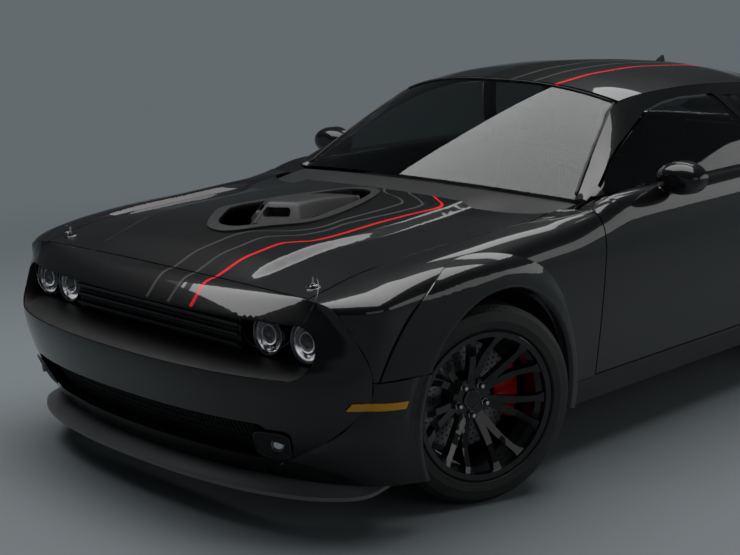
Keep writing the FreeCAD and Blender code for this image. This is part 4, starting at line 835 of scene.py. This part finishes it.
chrome = metal("chrome", (0.72, 0.72, 0.74, 1), 0.05, 0.12)
darkChrome = metal("darkChrome", (0.16, 0.16, 0.17, 1), 0.12, 0.22)
clearLens = glassPane("clearLens", (0.93, 0.95, 0.96, 1))
mirrorSilver = metal("mirrorSilver", (0.80, 0.81, 0.82, 1), 0.02, 0.04, strength=0.0)
sealRubber = satinPlastic("sealRubber", grey(0.010), 0.5, 0.65)
lampCore = satinPlastic("lampCore", (0.02, 0.021, 0.023), 0.03, 0.06, 300, 0.0, 1.0)
# near black, darker than the black plastics: painted shade for the duct openings
ductPaintedShade = satinPlastic("ductPaintedShade", grey(0.0015), 0.6, 0.75)
netBlack = satinPlastic("netBlack", (0.014, 0.014, 0.015), 0.30, 0.42)
lampSet = {
    "places": ((0.569, -2.275), (0.736, -2.262)), "height": 0.662, "bezel": 0.0715, "inner": 0.046,
    "glass": (0.0565, 0.0045, -0.0015, 9), "core": (0.0305, 0.013, -0.010, 10),
    "ring": ((0.0, -0.003), (0.0, 0.003), (-0.003, 0.005), (-0.008, 0.003), (-0.010, -0.004),
             (-0.012, -0.012)),
    "collar": ((0.0345, -0.020), (0.0345, -0.009), (0.032, -0.006), (0.030, -0.009)),
    # the bowl's painted highlight: a height band below the lamp's middle, noisy patches and the glow colour
    "bowl": (0.011, -0.018, -0.004, -0.022), "paintedHighlightBand": (0.010, 0.036), "patches": (45.0, 0.35, 0.6),
    "glow": (0.42, 0.43, 0.45, 1),
}


def widened(radius, profile):
    # a profile given as steps from a radius
    return [(radius + step, place) for step, place in profile]


def bowlWithPaintedHighlight():
    # a bright chrome bowl; its lower half glows weakly in patches, a painted highlight that stands for the
    # light falling past the header, and the rest of it glows very faintly
    g = Graph("bowlChromePaintedHighlight")
    x, y, z = g.split(g.place())
    scale, low, high = lampSet["patches"]
    # painted highlight: a glow in noisy patches on the bowl's lower half
    paintedHighlightBand = g.smooth(lampSet["height"] - z, *lampSet["paintedHighlightBand"]) * g.smooth(g.noise(scale, 1.0), low, high)
    glow = g.blend(paintedHighlightBand, (0.010, 0.010, 0.011, 1), lampSet["glow"])
    return g.finish(Base_Color=(0.72, 0.72, 0.74, 1), Metallic=1.0, Roughness=wear(g, 0.05, 0.14),
                    Emission_Color=glow, Emission_Strength=1.0)


def makeLamps():
    # each lamp: a thin outer ring, a bright bowl with a painted highlight round a dark projector, and a clear
    # cover
    rings, glasses, bowls, cores = [], [], [], []
    inner = lampSet["inner"]
    step, fall, start, depth = lampSet["bowl"]
    bowl = [(inner + 0.013, -0.006), (inner + 0.012, -0.002)]
    bowl += [(inner + step + fall * t, start + depth * math.sin(t * math.pi / 2)) for t in spaced(0, 1, 9)]
    for side in (-1, 1):
        for x, y in lampSet["places"]:
            way = ((side * x, y, lampSet["height"]), (0, -1, 0))
            rings.append(lathe(widened(lampSet["bezel"], lampSet["ring"]), *way, 72))
            bowls += [lathe(bowl, *way, 72), lathe(lampSet["collar"], *way, 64)]
            cores.append(lathe(domed(*lampSet["core"]), *way, 56))
            glasses.append(lathe(domed(*lampSet["glass"]), *way, 64))
    piece("lamp_rings", rings, "root", darkChrome)
    piece("lamp_bowls_painted_highlight", bowls, "root", bowlWithPaintedHighlight())
    piece("lamp_projectors", cores, "root", lampCore)
    piece("lamp_lenses", glasses, "root", clearLens)


ductSet = {
    "centre": 655.0, "half": 62.0, "low": 268.0, "high": 366.0, "lean": 14.0, "square": 0.5, "proud": 1.4,
    "rim": 0.0028, "lamp": 0.024, "lampX": 26.0, "lampZ": 8.0, "lampBack": 3.0, "lampWay": (0.45, -0.9, 0),
    "ring": ((0.0, -0.006), (0.0, 0.003), (-0.003, 0.004), (-0.005, 0.001), (-0.006, -0.003)),
    "face": (0.019, 0.004, -0.002, 7),
}


def makeDucts():
    # side ducts outboard of the lower grille, each a flat near-black sheet on the nose that paints the shade
    # inside the opening, each with a small round lamp
    panels, rims, lamps, faces = [], [], [], []
    d = ductSet
    middle, half = (d["low"] + d["high"]) / 2, (d["high"] - d["low"]) / 2

    def spot(side, u, v, grow):
        # a spot just ahead of the nose; u and v run from -1 to 1
        x = d["centre"] + (d["half"] + grow) * u + d["lean"] * v
        z = middle + (half + grow) * v
        return (side * x * mm, (noseY(x, z) - d["proud"]) * mm, z * mm)

    def bulged(value):
        return math.copysign(abs(value) ** d["square"], value)
    outline = [(bulged(math.cos(a)), bulged(math.sin(a))) for a in turns(48)]
    for side in (-1, 1):
        # painted shade: a near-black sheet just ahead of the nose stands for the duct's dark inside
        panels.append(capped([[spot(side, u * scale, v * scale, 0) for u, v in outline]
                              for scale in (1.0, 0.8, 0.5, 0.2)]))
        rim = [spot(side, u, v, 1.0) for u, v in outline]
        rims.append(tube(rim, d["rim"], 8, closed=True, up=(0, 1, 0)))
        x, z = d["centre"] + d["lampX"], middle + d["lampZ"]
        centre = (side * x * mm, (noseY(x, z) - d["lampBack"]) * mm, z * mm)
        out = Vector(d["lampWay"]) * Vector((side, 1, 1))
        lamps.append(lathe(widened(d["lamp"], d["ring"]), centre, out, 40))
        faces.append(lathe(domed(*d["face"]), centre, out, 40))
    piece("duct_shade_panels", panels, "root", ductPaintedShade)
    piece("duct_rims", rims, "root", paint)
    piece("duct_lamp_rings", lamps, "root", darkChrome)
    piece("duct_lamp_faces", faces, "root", chrome)


grilleSet = {"half": 0.452, "low": 0.600, "high": 0.724, "plane": -2.3045, "cell": 0.0175, "row": 0.0135,
             "wire": 0.0016}


def makeUpperNet():
    bars, g = [], grilleSet
    for i in range(int(2 * g["half"] / g["cell"]) + 1):
        x = -g["half"] + i * g["cell"]
        bars.append(tube([(x, g["plane"], g["low"]), (x, g["plane"], g["high"])], g["wire"], 4, up=(0, 1, 0)))
    for j in range(int((g["high"] - g["low"]) / g["row"]) + 1):
        z = g["low"] + j * g["row"]
        bars.append(tube([(-g["half"], g["plane"], z), (g["half"], g["plane"], z)], g["wire"], 4))
    piece("upper_grille_net", bars, "root", netBlack, False)


intakeSet = {"low": 258, "high": 388, "footHalf": 578, "topHalf": 690, "cell": 19.0, "cells": 36, "row": 13.0,
             "back": 56.0, "wire": 0.0019, "margin": 6}


def makeLowerNet():
    bars, g = [], intakeSet

    def spot(x, z):
        return (x * mm, (noseY(x, z) + g["back"]) * mm, z * mm)
    rows = int((g["high"] - g["low"]) / g["row"])
    for j in range(rows + 1):
        half = mix(g["footHalf"], g["topHalf"], j / rows)
        z = g["low"] + j * g["row"]
        bars.append(tube([spot(x, z) for x in spaced(-half, half, 61)], g["wire"], 4))
    for i in range(-g["cells"], g["cells"] + 1):
        x = i * g["cell"]
        if abs(x) > g["topHalf"] - g["margin"]:
            continue
        past = max(0.0, abs(x) - g["footHalf"]) / (g["topHalf"] - g["footHalf"])
        low = mix(g["low"], g["high"], past)
        line = [spot(x, z) for z in spaced(low, g["high"], 7)]
        bars.append(tube(line, g["wire"], 4, up=(0, 1, 0)))
    piece("lower_grille_net", bars, "root", netBlack, False)


pinSet = {
    "x": 688.0, "y": -2182.0, "step": 20.0, "plate": 0.027, "lift": 0.0012,
    "disc": ((0.0, 0.0004), (-0.001, 0.0026), (-0.005, 0.0034), (-0.014, 0.0030), (-0.016, 0.0022),
             (-0.0195, 0.0020)),
    "pin": ((0.0062, 0.002), (0.0062, 0.013), (0.0045, 0.016), (0.0001, 0.0165)),
    "clip": (0.017, 0.010), "clipOut": 0.012, "clipUp": 0.011, "clipWire": 0.0014,
}


def makeHoodPins():
    plates, pins, clips = [], [], []
    s, (wide, deep) = pinSet, pinSet["clip"]

    def skin(x, y):
        return Vector((x, y, hoodSkin(x, y))) * mm
    for side in (-1, 1):
        x, y = side * s["x"], s["y"]
        here = skin(x, y)
        up = (skin(x + s["step"], y) - here).cross(skin(x, y + s["step"]) - here).normalized()
        plates.append(lathe(widened(s["plate"], s["disc"]), here, up, 48))
        pins.append(lathe(s["pin"], here + up * s["lift"], up, 24))
        middle = here + up * s["clipUp"] + Vector((s["clipOut"] * side, 0, 0))
        loop = [middle + Vector((math.cos(a) * wide, math.sin(a) * deep, 0)) for a in turns(20)]
        clips.append(tube(loop, s["clipWire"], 6, closed=True))
    piece("hood_pin_plates", plates, "hood", darkChrome)
    piece("hood_pin_heads", pins, "root", darkChrome)
    piece("hood_pin_clips", clips, "root", chrome)


sealSet = {"lift": (0, -1.2, 2.2), "radius": 0.0055, "flat": 0.5, "top": 0.985, "side": 0.985}


def makeSeals():
    # a dark seal along the top and sides of the windscreen
    lines = [[windscreenPoint(u, sealSet["top"]) for u in spaced(-0.975, 0.975, 41)]]
    for side in (-1, 1):
        lines.append([windscreenPoint(side * sealSet["side"], v) for v in spaced(0.06, 0.98, 31)])
    lift = Vector(sealSet["lift"])
    parts = [tube([(spot + lift) * mm for spot in line], sealSet["radius"], 8, flat=sealSet["flat"])
             for line in lines]
    piece("windscreen_seal", parts, "root", sealRubber)


mirrorSet = {"place": (0.985, -0.440, 1.045), "across": 0.096, "up": 0.059, "proud": 0.0345,
             "rings": ((1.0, 0.0), (0.97, 0.0022), (0.5, 0.003), (0.02, 0.0032))}


def makeMirrorGlass():
    m, (x, y, z) = mirrorSet, mirrorSet["place"]
    for side, word in ((1, "left"), (-1, "right")):
        rings = [[(side * x + m["across"] * scale * math.cos(a), y + m["proud"] + back,
                   z + m["up"] * scale * math.sin(a)) for a in turns(48)] for scale, back in m["rings"]]
        piece("mirror_face_" + word, [capped(rings)], "door_" + word, mirrorSilver)


makeLamps()
makeDucts()
makeUpperNet()
makeLowerNet()
makeHoodPins()
makeSeals()
makeMirrorGlass()
print("nose pieces made")


# wheels: tread, drilled discs, calipers, nuts and caps
turned = math.radians(19)
wheelSet = {
    "front_left": ((0.8412, -1.5828, 0.361), (math.cos(turned), -math.sin(turned), 0.0)),
    "front_right": ((-0.8412, -1.5372, 0.361), (-math.cos(turned), math.sin(turned), 0.0)),
    "rear_left": ((0.845, 1.390, 0.361), (1.0, 0.0, 0.0)),
    "rear_right": ((-0.845, 1.390, 0.361), (-1.0, 0.0, 0.0)),
}


def wheelPlace(g, centre, axis):
    # distance out along the axle, distance from it, and angle round it
    def dot(vector, way):
        return g.node("ShaderNodeVectorMath", {"operation": "DOT_PRODUCT"}, {0: vector, 1: way}, output=1)
    spot = g.node("ShaderNodeVectorMath", {"operation": "SUBTRACT"}, {0: g.place(), 1: centre})
    out = dot(spot, axis)
    up, ahead = dot(spot, (0, 0, 1)), dot(spot, tuple(Vector(axis).cross(Vector((0, 0, 1)))))
    return out, g.sum("SQRT", up * up + ahead * ahead), g.sum("ARCTAN2", up, ahead)


treadSet = {"shoulder": 0.346, "grooves": (0.030, 0.088), "grooveHalf": 0.0055, "blocks": 58, "slant": 26.0,
            "cut": 0.13, "beadLine": 0.281, "rimLine": 0.3375, "ribs": 150, "raised": 0.35, "depth": 0.010}


def tyreMaterial(name, centre, axis):
    g, t = Graph(name), treadSet
    out, radius, angle = wheelPlace(g, centre, axis)
    aside = abs(out)
    tread = g.smooth(radius, t["shoulder"], t["shoulder"] + 0.004)
    ring = 0.0
    for middle in t["grooves"]:
        line = 1.0 - g.smooth(abs(aside - middle), t["grooveHalf"] - 0.001, t["grooveHalf"] + 0.001)
        ring = g.sum("MAXIMUM", line, ring)
    turn = g.sum("FRACT", angle * (t["blocks"] / (2 * math.pi)) + aside * t["slant"] + 100.0)
    slot = (turn < t["cut"]) * (aside > t["grooves"][0])
    cut = g.sum("MAXIMUM", ring, slot) * tread
    lines = g.sum("MAXIMUM", 1.0 - g.smooth(abs(radius - t["beadLine"]), 0.0008, 0.0020),
                  1.0 - g.smooth(abs(radius - t["rimLine"]), 0.0010, 0.0024))
    ribs = g.smooth(g.sum("SINE", angle * t["ribs"]), -0.2, 0.2) * (radius > t["rimLine"] + 0.002)
    wall = (lines + ribs * t["raised"]) * (1.0 - tread)
    height = wall * t["raised"] - cut + g.noise(800, 3.0) * 0.05
    # the grooves and slots are only bumps; their near-black colour is painted shade in them
    base = g.blend(cut, dusty(g, grey(0.012), (0.024, 0.023, 0.022, 1)), grey(0.003))
    return g.finish(Base_Color=base, Roughness=wear(g, 0.42, 0.60, 12.0),
                    Normal=g.bump(height, 1.0, t["depth"]))


discSet = {"row": 0.0165, "around": 44, "hole": 0.045, "drilledFrom": 0.112, "hat": 0.092, "lathed": 900.0,
           "dark": (0.26, 0.26, 0.27, 1), "bright": (0.40, 0.40, 0.41, 1),
           "hatColour": (0.09, 0.09, 0.095, 1)}


def discMaterial(name, centre, axis):
    g, d = Graph(name), discSet
    out, radius, angle = wheelPlace(g, centre, axis)
    row = radius / d["row"]
    across = g.sum("FRACT", row) - 0.5
    shift = g.sum("FLOOR", row) * 0.5 + 100.0
    around = g.sum("FRACT", angle * (d["around"] / (2 * math.pi)) + shift) - 0.5
    # the drill holes are only drawn: near black and barely metallic, painted shade where a hole shows its
    # dark inside
    hole = (across * across + around * around < d["hole"]) * (radius > d["drilledFrom"])
    worn = g.node("ShaderNodeTexNoise", {"noise_dimensions": "1D"},
                  {"W": radius * d["lathed"], "Detail": 2.0})
    base = g.blend(worn, d["dark"], d["bright"])
    # painted shade in the drawn holes
    base = g.blend(hole, base, grey(0.01))
    base = g.blend(radius < d["hat"], base, d["hatColour"])
    return g.finish(Base_Color=base, Metallic=1.0 - 0.9 * hole, Roughness=0.30 + 0.10 * worn,
                    Normal=g.bump(worn * 0.2 - hole, 0.35))


caliperSet = {"from": 0.116, "to": 0.222, "side": 0.12, "red": (0.88, 0.008, 0.010, 1), "rough": 0.58,
              "smoother": 0.30, "coat": 0.7}


def carrierMaterial(name, wheels, plain):
    # red where it is the caliper, by its distance from the axle; cast or painted elsewhere
    g, c = Graph(name), caliperSet
    red = 0.0
    for centre, axis in wheels:
        out, radius, angle = wheelPlace(g, centre, axis)
        red = g.sum("MAXIMUM", (radius > c["from"]) * (radius < c["to"]) * (abs(out) < c["side"]), red)
    tone = g.noise(10.0, 3.0)
    base = g.blend(tone, plain, shade(plain, 1.3))
    base = g.blend(red, base, g.blend(tone, c["red"], shade(c["red"], 0.85)))
    return g.finish(Base_Color=base, Roughness=c["rough"] - c["smoother"] * red, Coat_Weight=c["coat"] * red,
                    Normal=g.bump(g.noise(500), 0.1, 0.0006))


nutSet = {
    "face": 0.0442, "circle": 0.057, "radius": 0.0125, "length": 0.020, "cap": 0.036,
    "foot": ((0.003, 0.0005), (0.002, 0.003), (0.0, 0.004)),
    "tip": ((0.0, -0.005), (-0.0022, -0.0014), (-0.006, 0.0), (-0.0124, 0.0004)),
    "capLine": ((0.0, 0.0005), (0.0, 0.004), (-0.002, 0.006), (-0.006, 0.0062), (-0.008, 0.0050),
                (-0.014, 0.0056), (-0.0359, 0.0074)),
    "ringLine": ((-0.0015, 0.0056), (-0.0022, 0.0074), (-0.0042, 0.0076), (-0.0052, 0.0058)),
}


def makeWheelTrim():
    s, up = nutSet, Vector((0, 0, 1))
    nut = [(s["radius"] + step, place) for step, place in s["foot"]]
    nut += [(s["radius"] + step, s["length"] + place) for step, place in s["tip"]]
    for name, (centre, axis) in wheelSet.items():
        body = "wheel_" + name
        ahead = Vector(axis).cross(up)
        face = Vector(centre) + Vector(axis) * s["face"]
        nuts = []
        for i in range(5):
            a = math.radians(90 + (i + 0.5) * 72)
            spot = face + (ahead * math.cos(a) + up * math.sin(a)) * s["circle"]
            nuts.append(lathe(nut, spot, axis, 6))
        cap = lathe(widened(s["cap"], s["capLine"]), face, axis, 56)
        ring = lathe(widened(s["cap"], s["ringLine"]), face, axis, 56)
        piece("lug_nuts_" + name, nuts, body, chrome, False)
        piece("wheel_cap_" + name, [cap], body, finishes["black_wheel_paint"])
        piece("cap_ring_" + name, [ring], body, darkChrome)
        nodes["tyre_" + name].data.materials[0] = tyreMaterial("tyre_" + name, centre, axis)
        nodes["brake_disc_" + name].data.materials[0] = discMaterial("disc_" + name, centre, axis)
    carriers = {"knuckle_left": (["front_left"], (0.06, 0.06, 0.062, 1)),
                "knuckle_right": (["front_right"], (0.06, 0.06, 0.062, 1)),
                "suspension": (["rear_left", "rear_right"], grey(0.012))}
    for node, (wheels, plain) in carriers.items():
        places = [wheelSet[wheel] for wheel in wheels]
        nodes[node].data.materials[0] = carrierMaterial("carrier_" + node, places, plain)


makeWheelTrim()
print("wheel pieces made")


# seats: padded pieces swollen by cloth pressure inside the frame's seat solids
padSet = {"voxel": 0.012, "pressure": 4.0, "frames": 20, "cap": 0.022, "inset": 21.0, "rearInset": 0.8,
          "fill": 0.7, "seamDepth": 0.007, "seamWidth": 0.006}
# outline (y, z) and reach (x) in millimetres; a seam is (axis, place, start, end) in metres
seatSet = {
    "seat_cushion": ([(-260, 302), (270, 302), (270, 455), (-200, 470), (-255, 430)], (155, 585),
                     [(0, 0.290, -0.20, 0.20), (0, 0.450, -0.20, 0.20), (1, -0.05, 0.290, 0.450)]),
    "seat_back": ([(170, 440), (300, 440), (450, 1060), (370, 1070)], (155, 585),
                  [(0, 0.290, 0.0, 0.6), (0, 0.450, 0.0, 0.6)]),
    "headrest": ([(385, 1055), (470, 1055), (470, 1220), (385, 1220)], (240, 500), []),
}
benchCushion = [(560, 395), (850, 395), (835, 480), (560, 470)]
benchSet = {
    "bench_cushion_left": (benchCushion, (148, 600), []),
    "bench_cushion_right": (benchCushion, (-600, -148), []),
    "bench_back": ([(838, 470), (905, 470), (1010, 960), (920, 960)], (-600, 600), [(0, 0.0, 0.5, 1.2)]),
}
plinthSet = {"outline": [(-220, 223.2), (230, 223.2), (218, 300), (-208, 300)], "reach": (170, 570),
             "edge": 0.008}


def prism(outline, reach):
    # an outline of (y, z) stretched across the car, with its faces all outwards
    mesh = bpy.data.meshes.new("prism")
    count = len(outline)
    spots = [(x * mm, y * mm, z * mm) for x in reach for y, z in outline]
    faces = [tuple(range(count)), tuple(range(2 * count - 1, count - 1, -1))]
    faces += [(i, count + i, count + (i + 1) % count, (i + 1) % count) for i in range(count)]
    mesh.from_pydata(spots, [], faces)
    work = bmesh.new()
    work.from_mesh(mesh)
    bmesh.ops.recalc_face_normals(work, faces=work.faces)
    work.to_mesh(mesh)
    work.free()
    return mesh


def applied(obj):
    seen = obj.evaluated_get(bpy.context.evaluated_depsgraph_get())
    mesh = bpy.data.meshes.new_from_object(seen)
    obj.modifiers.clear()
    obj.data = mesh
    return obj


def grooves(mesh, seams):
    # sewn channels: the skin sinks along lines across the pad
    spots, normals = vectors(mesh.vertices), vectors(mesh.vertex_normals, "vector")
    sink = np.zeros(len(spots))
    for axis, value, start, end in seams:
        other = 1 - axis
        inside = (spots[:, other] > start) & (spots[:, other] < end)
        sink = np.maximum(sink, inside * np.exp(-((spots[:, axis] - value) / padSet["seamWidth"]) ** 2))
    spots -= normals * (padSet["seamDepth"] * sink)[:, None]
    mesh.vertices.foreach_set("co", spots.ravel())
    mesh.update()


def swell(obj):
    # cloth pressure moves each point outwards, up to the cap
    start = vectors(obj.data.vertices)
    cloth = obj.modifiers.new("cloth", "CLOTH")
    cloth.settings.use_pressure = True
    cloth.settings.uniform_pressure_force = padSet["pressure"]
    cloth.settings.effector_weights.gravity = 0.0
    for step in range(1, padSet["frames"] + 1):
        scene.frame_set(step)
    applied(obj)
    scene.frame_set(1)
    move = vectors(obj.data.vertices) - start
    far = np.maximum(np.linalg.norm(move, axis=1, keepdims=True), 1e-9)
    move *= np.minimum(1.0, padSet["cap"] / far)
    obj.data.vertices.foreach_set("co", (start + move).ravel())
    obj.data.update()


def pad(name, outline, reach, seams):
    obj = bpy.data.objects.new(name, prism(outline, reach))
    scene.collection.objects.link(obj)
    cut = obj.modifiers.new("voxels", "REMESH")
    cut.mode, cut.voxel_size = "VOXEL", padSet["voxel"]
    applied(obj)
    swell(obj)
    fine = obj.modifiers.new("fine", "SUBSURF")
    fine.levels = fine.render_levels = 1
    applied(obj)
    grooves(obj.data, seams)
    return obj


def dress(obj):
    mesh = obj.data
    mesh.polygons.foreach_set("use_smooth", [True] * len(mesh.polygons))
    mesh.materials.clear()
    mesh.materials.append(finishes["seat_leather"])
    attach(obj, "root")


def shrunk(outline, by):
    # the outline moved inwards by a distance, corner by corner
    count, made = len(outline), []
    area = sum(outline[i][0] * outline[(i + 1) % count][1] - outline[(i + 1) % count][0] * outline[i][1]
               for i in range(count))
    turn = 1 if area > 0 else -1
    for i, (y, z) in enumerate(outline):
        before, after = outline[i - 1], outline[(i + 1) % count]
        a = Vector((y - before[0], z - before[1])).normalized()
        b = Vector((after[0] - y, after[1] - z)).normalized()
        inner = Vector((-a.y, a.x)) * turn + Vector((-b.y, b.x)) * turn
        inner = inner.normalized() * by / max(0.4, math.cos(a.angle(b) / 2))
        made.append((y + inner.x, z + inner.y))
    return made


def makeSeats():
    by = padSet["inset"]
    for name, (outline, (low, high), seams) in seatSet.items():
        left = pad(name + "_left", shrunk(outline, by), (low + by, high - by), seams)
        mesh = left.data.copy()
        mesh.transform(Matrix.Diagonal((-1, 1, 1, 1)))
        mesh.flip_normals()
        right = bpy.data.objects.new(name + "_right", mesh)
        scene.collection.objects.link(right)
        dress(left)
        dress(right)
        if name == "seat_cushion":
            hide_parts("seats")
    for name, (outline, (low, high), seams) in benchSet.items():
        dress(pad(name, shrunk(outline, by * padSet["rearInset"]), (low + by, high - by), seams))
    bases = []
    for side in (-1, 1):
        mesh = prism(plinthSet["outline"], sorted(side * x for x in plinthSet["reach"]))
        bases.append(([vertex.co.copy() for vertex in mesh.vertices],
                      [tuple(face.vertices) for face in mesh.polygons]))
    plinths = piece("seat_plinths", bases, "root", finishes["cabin_black"], False)
    edge = plinths.modifiers.new("edge", "BEVEL")
    edge.width, edge.segments = plinthSet["edge"], 3
    applied(plinths)


makeSeats()
print("seats made")


# door handles, tail lamp rims and the tether wires of the hood pins
handleSet = {"front": 360.0, "rear": 500.0, "height": 862.0, "rise": 4.0, "proud": 24.0, "sunk": 3.0,
             "power": 0.35, "radius": 0.009, "flat": 1.3}


def makeHandles():
    h = handleSet
    for side, word in ((1, "left"), (-1, "right")):
        line = []
        for t in spaced(0, 1, 17):
            y, z = mix(h["front"], h["rear"], t), h["height"] + h["rise"] * t
            proud = h["proud"] * math.sin(math.pi * t) ** h["power"] - h["sunk"]
            line.append((side * (flankX(y, z) + proud) * mm, y * mm, z * mm))
        piece("door_handle_" + word, [tube(line, h["radius"], 12, flat=h["flat"])], "door_" + word,
              paint)


tailSet = {"inner": 60, "outer": 770, "low": 842, "high": 938, "proud": 2.0, "wire": 0.0022}


def makeTailTrim():
    # a bright line round each half of the tail lamp band
    s = tailSet

    def at(x, z):
        bend = rounding(x / (waistX(2080) - 6), 3.2)
        return (x * mm, (2080 + (tailMiddleY(z) - 2080) * bend - s["proud"]) * mm, z * mm)
    across = spaced(s["inner"], s["outer"], 31)
    places = [(x, s["low"]) for x in across] + [(x, s["high"]) for x in reversed(across)]
    rims = [tube([at(side * x, z) for x, z in places], s["wire"], 6, closed=True) for side in (-1, 1)]
    piece("tail_lamp_rims", rims, "root", darkChrome)


tetherSet = {"length": 0.53, "wire": 0.0022}


def makeTethers():
    # a wire from each hood pin hangs over the header and goes back in beside the grille
    route = [(0.696, -2.186, 0.862), (0.722, -2.196, 0.862), (0.752, -2.218, 0.842),
             (0.776, -2.252, 0.811), (0.778, -2.282, 0.775), (0.764, -2.300, 0.738),
             (0.742, -2.312, 0.695), (0.700, -2.330, 0.652), (0.641, -2.338, 0.630),
             (0.575, -2.338, 0.634), (0.517, -2.330, 0.652), (0.484, -2.308, 0.672)]
    for side, name in ((1, "left"), (-1, "right")):
        curve = bpy.data.curves.new("tether" + name, "CURVE")
        curve.dimensions = "3D"
        curve.bevel_depth, curve.bevel_resolution = tetherSet["wire"] / 2, 3
        line = curve.splines.new("NURBS")
        line.points.add(len(route) - 1)
        for point, (x, y, z) in zip(line.points, route):
            point.co = (side * x, y, z, 1)
        line.order_u, line.use_endpoint_u = 3, True
        obj = bpy.data.objects.new("tether_" + name, curve)
        scene.collection.objects.link(obj)
        curve.materials.append(darkChrome)
        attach(obj, "root")
        x, y, z = route[0]


makeHandles()
makeTailTrim()
makeTethers()
print("trim made")


def makeFloor():
    # a plain floor that turns into an even backdrop of its own colour far from the car
    g = Graph("studioFloor")
    x, y, z = g.split(g.place())
    apart = g.sum("SQRT", x * x + y * y)
    rays = g.node("ShaderNodeLightPath").socket.node.outputs
    seen = g.sum("MAXIMUM", Wire(g, rays["Is Camera Ray"]),
                 g.sum("MAXIMUM", Wire(g, rays["Is Glossy Ray"]), Wire(g, rays["Is Transmission Ray"])))
    even = g.smooth(apart, studio["evenFrom"], studio["evenTo"]) * seen
    base = g.blend(g.noise(0.35), studio["floorColour"], shade(studio["floorColour"], 1.04))
    ground = g.node("ShaderNodeBsdfPrincipled", None,
                    {"Base Color": base, "Roughness": 0.6, "Normal": g.bump(g.noise(60, 3.0), 0.02)})
    plain = g.node("ShaderNodeEmission", None, {"Color": studio["backdrop"], "Strength": 1.0})
    surface = g.node("ShaderNodeMixShader", None, {0: even, 1: ground, 2: plain})
    g.node("ShaderNodeOutputMaterial", None, {"Surface": surface})
    reach = studio["floorReach"]
    mesh = meshOf("floor", [([(-reach, -reach, 0), (reach, -reach, 0), (reach, reach, 0), (-reach, reach, 0)],
                             [(0, 1, 2, 3)])])
    floor = bpy.data.objects.new("floor", mesh)
    scene.collection.objects.link(floor)
    mesh.materials.append(g.material)


def makeSky():
    world = bpy.data.worlds.new("studio")
    scene.world = world
    world.use_nodes = True
    tree = world.node_tree
    tree.nodes.clear()
    coord = tree.nodes.new("ShaderNodeTexCoord")
    apart = tree.nodes.new("ShaderNodeSeparateXYZ")
    ramp = tree.nodes.new("ShaderNodeValToRGB")
    first, second = ramp.color_ramp.elements
    first.position, first.color = studio["horizonEnd"], studio["backdrop"]
    second.position, second.color = studio["ceilingStart"], studio["ceiling"]
    glow = tree.nodes.new("ShaderNodeBackground")
    out = tree.nodes.new("ShaderNodeOutputWorld")
    tree.links.new(coord.outputs["Generated"], apart.inputs[0])
    tree.links.new(apart.outputs[2], ramp.inputs[0])
    tree.links.new(ramp.outputs[0], glow.inputs[0])
    tree.links.new(glow.outputs[0], out.inputs[0])


makeFloor()
makeSky()
scene.view_settings.view_transform = "Standard"
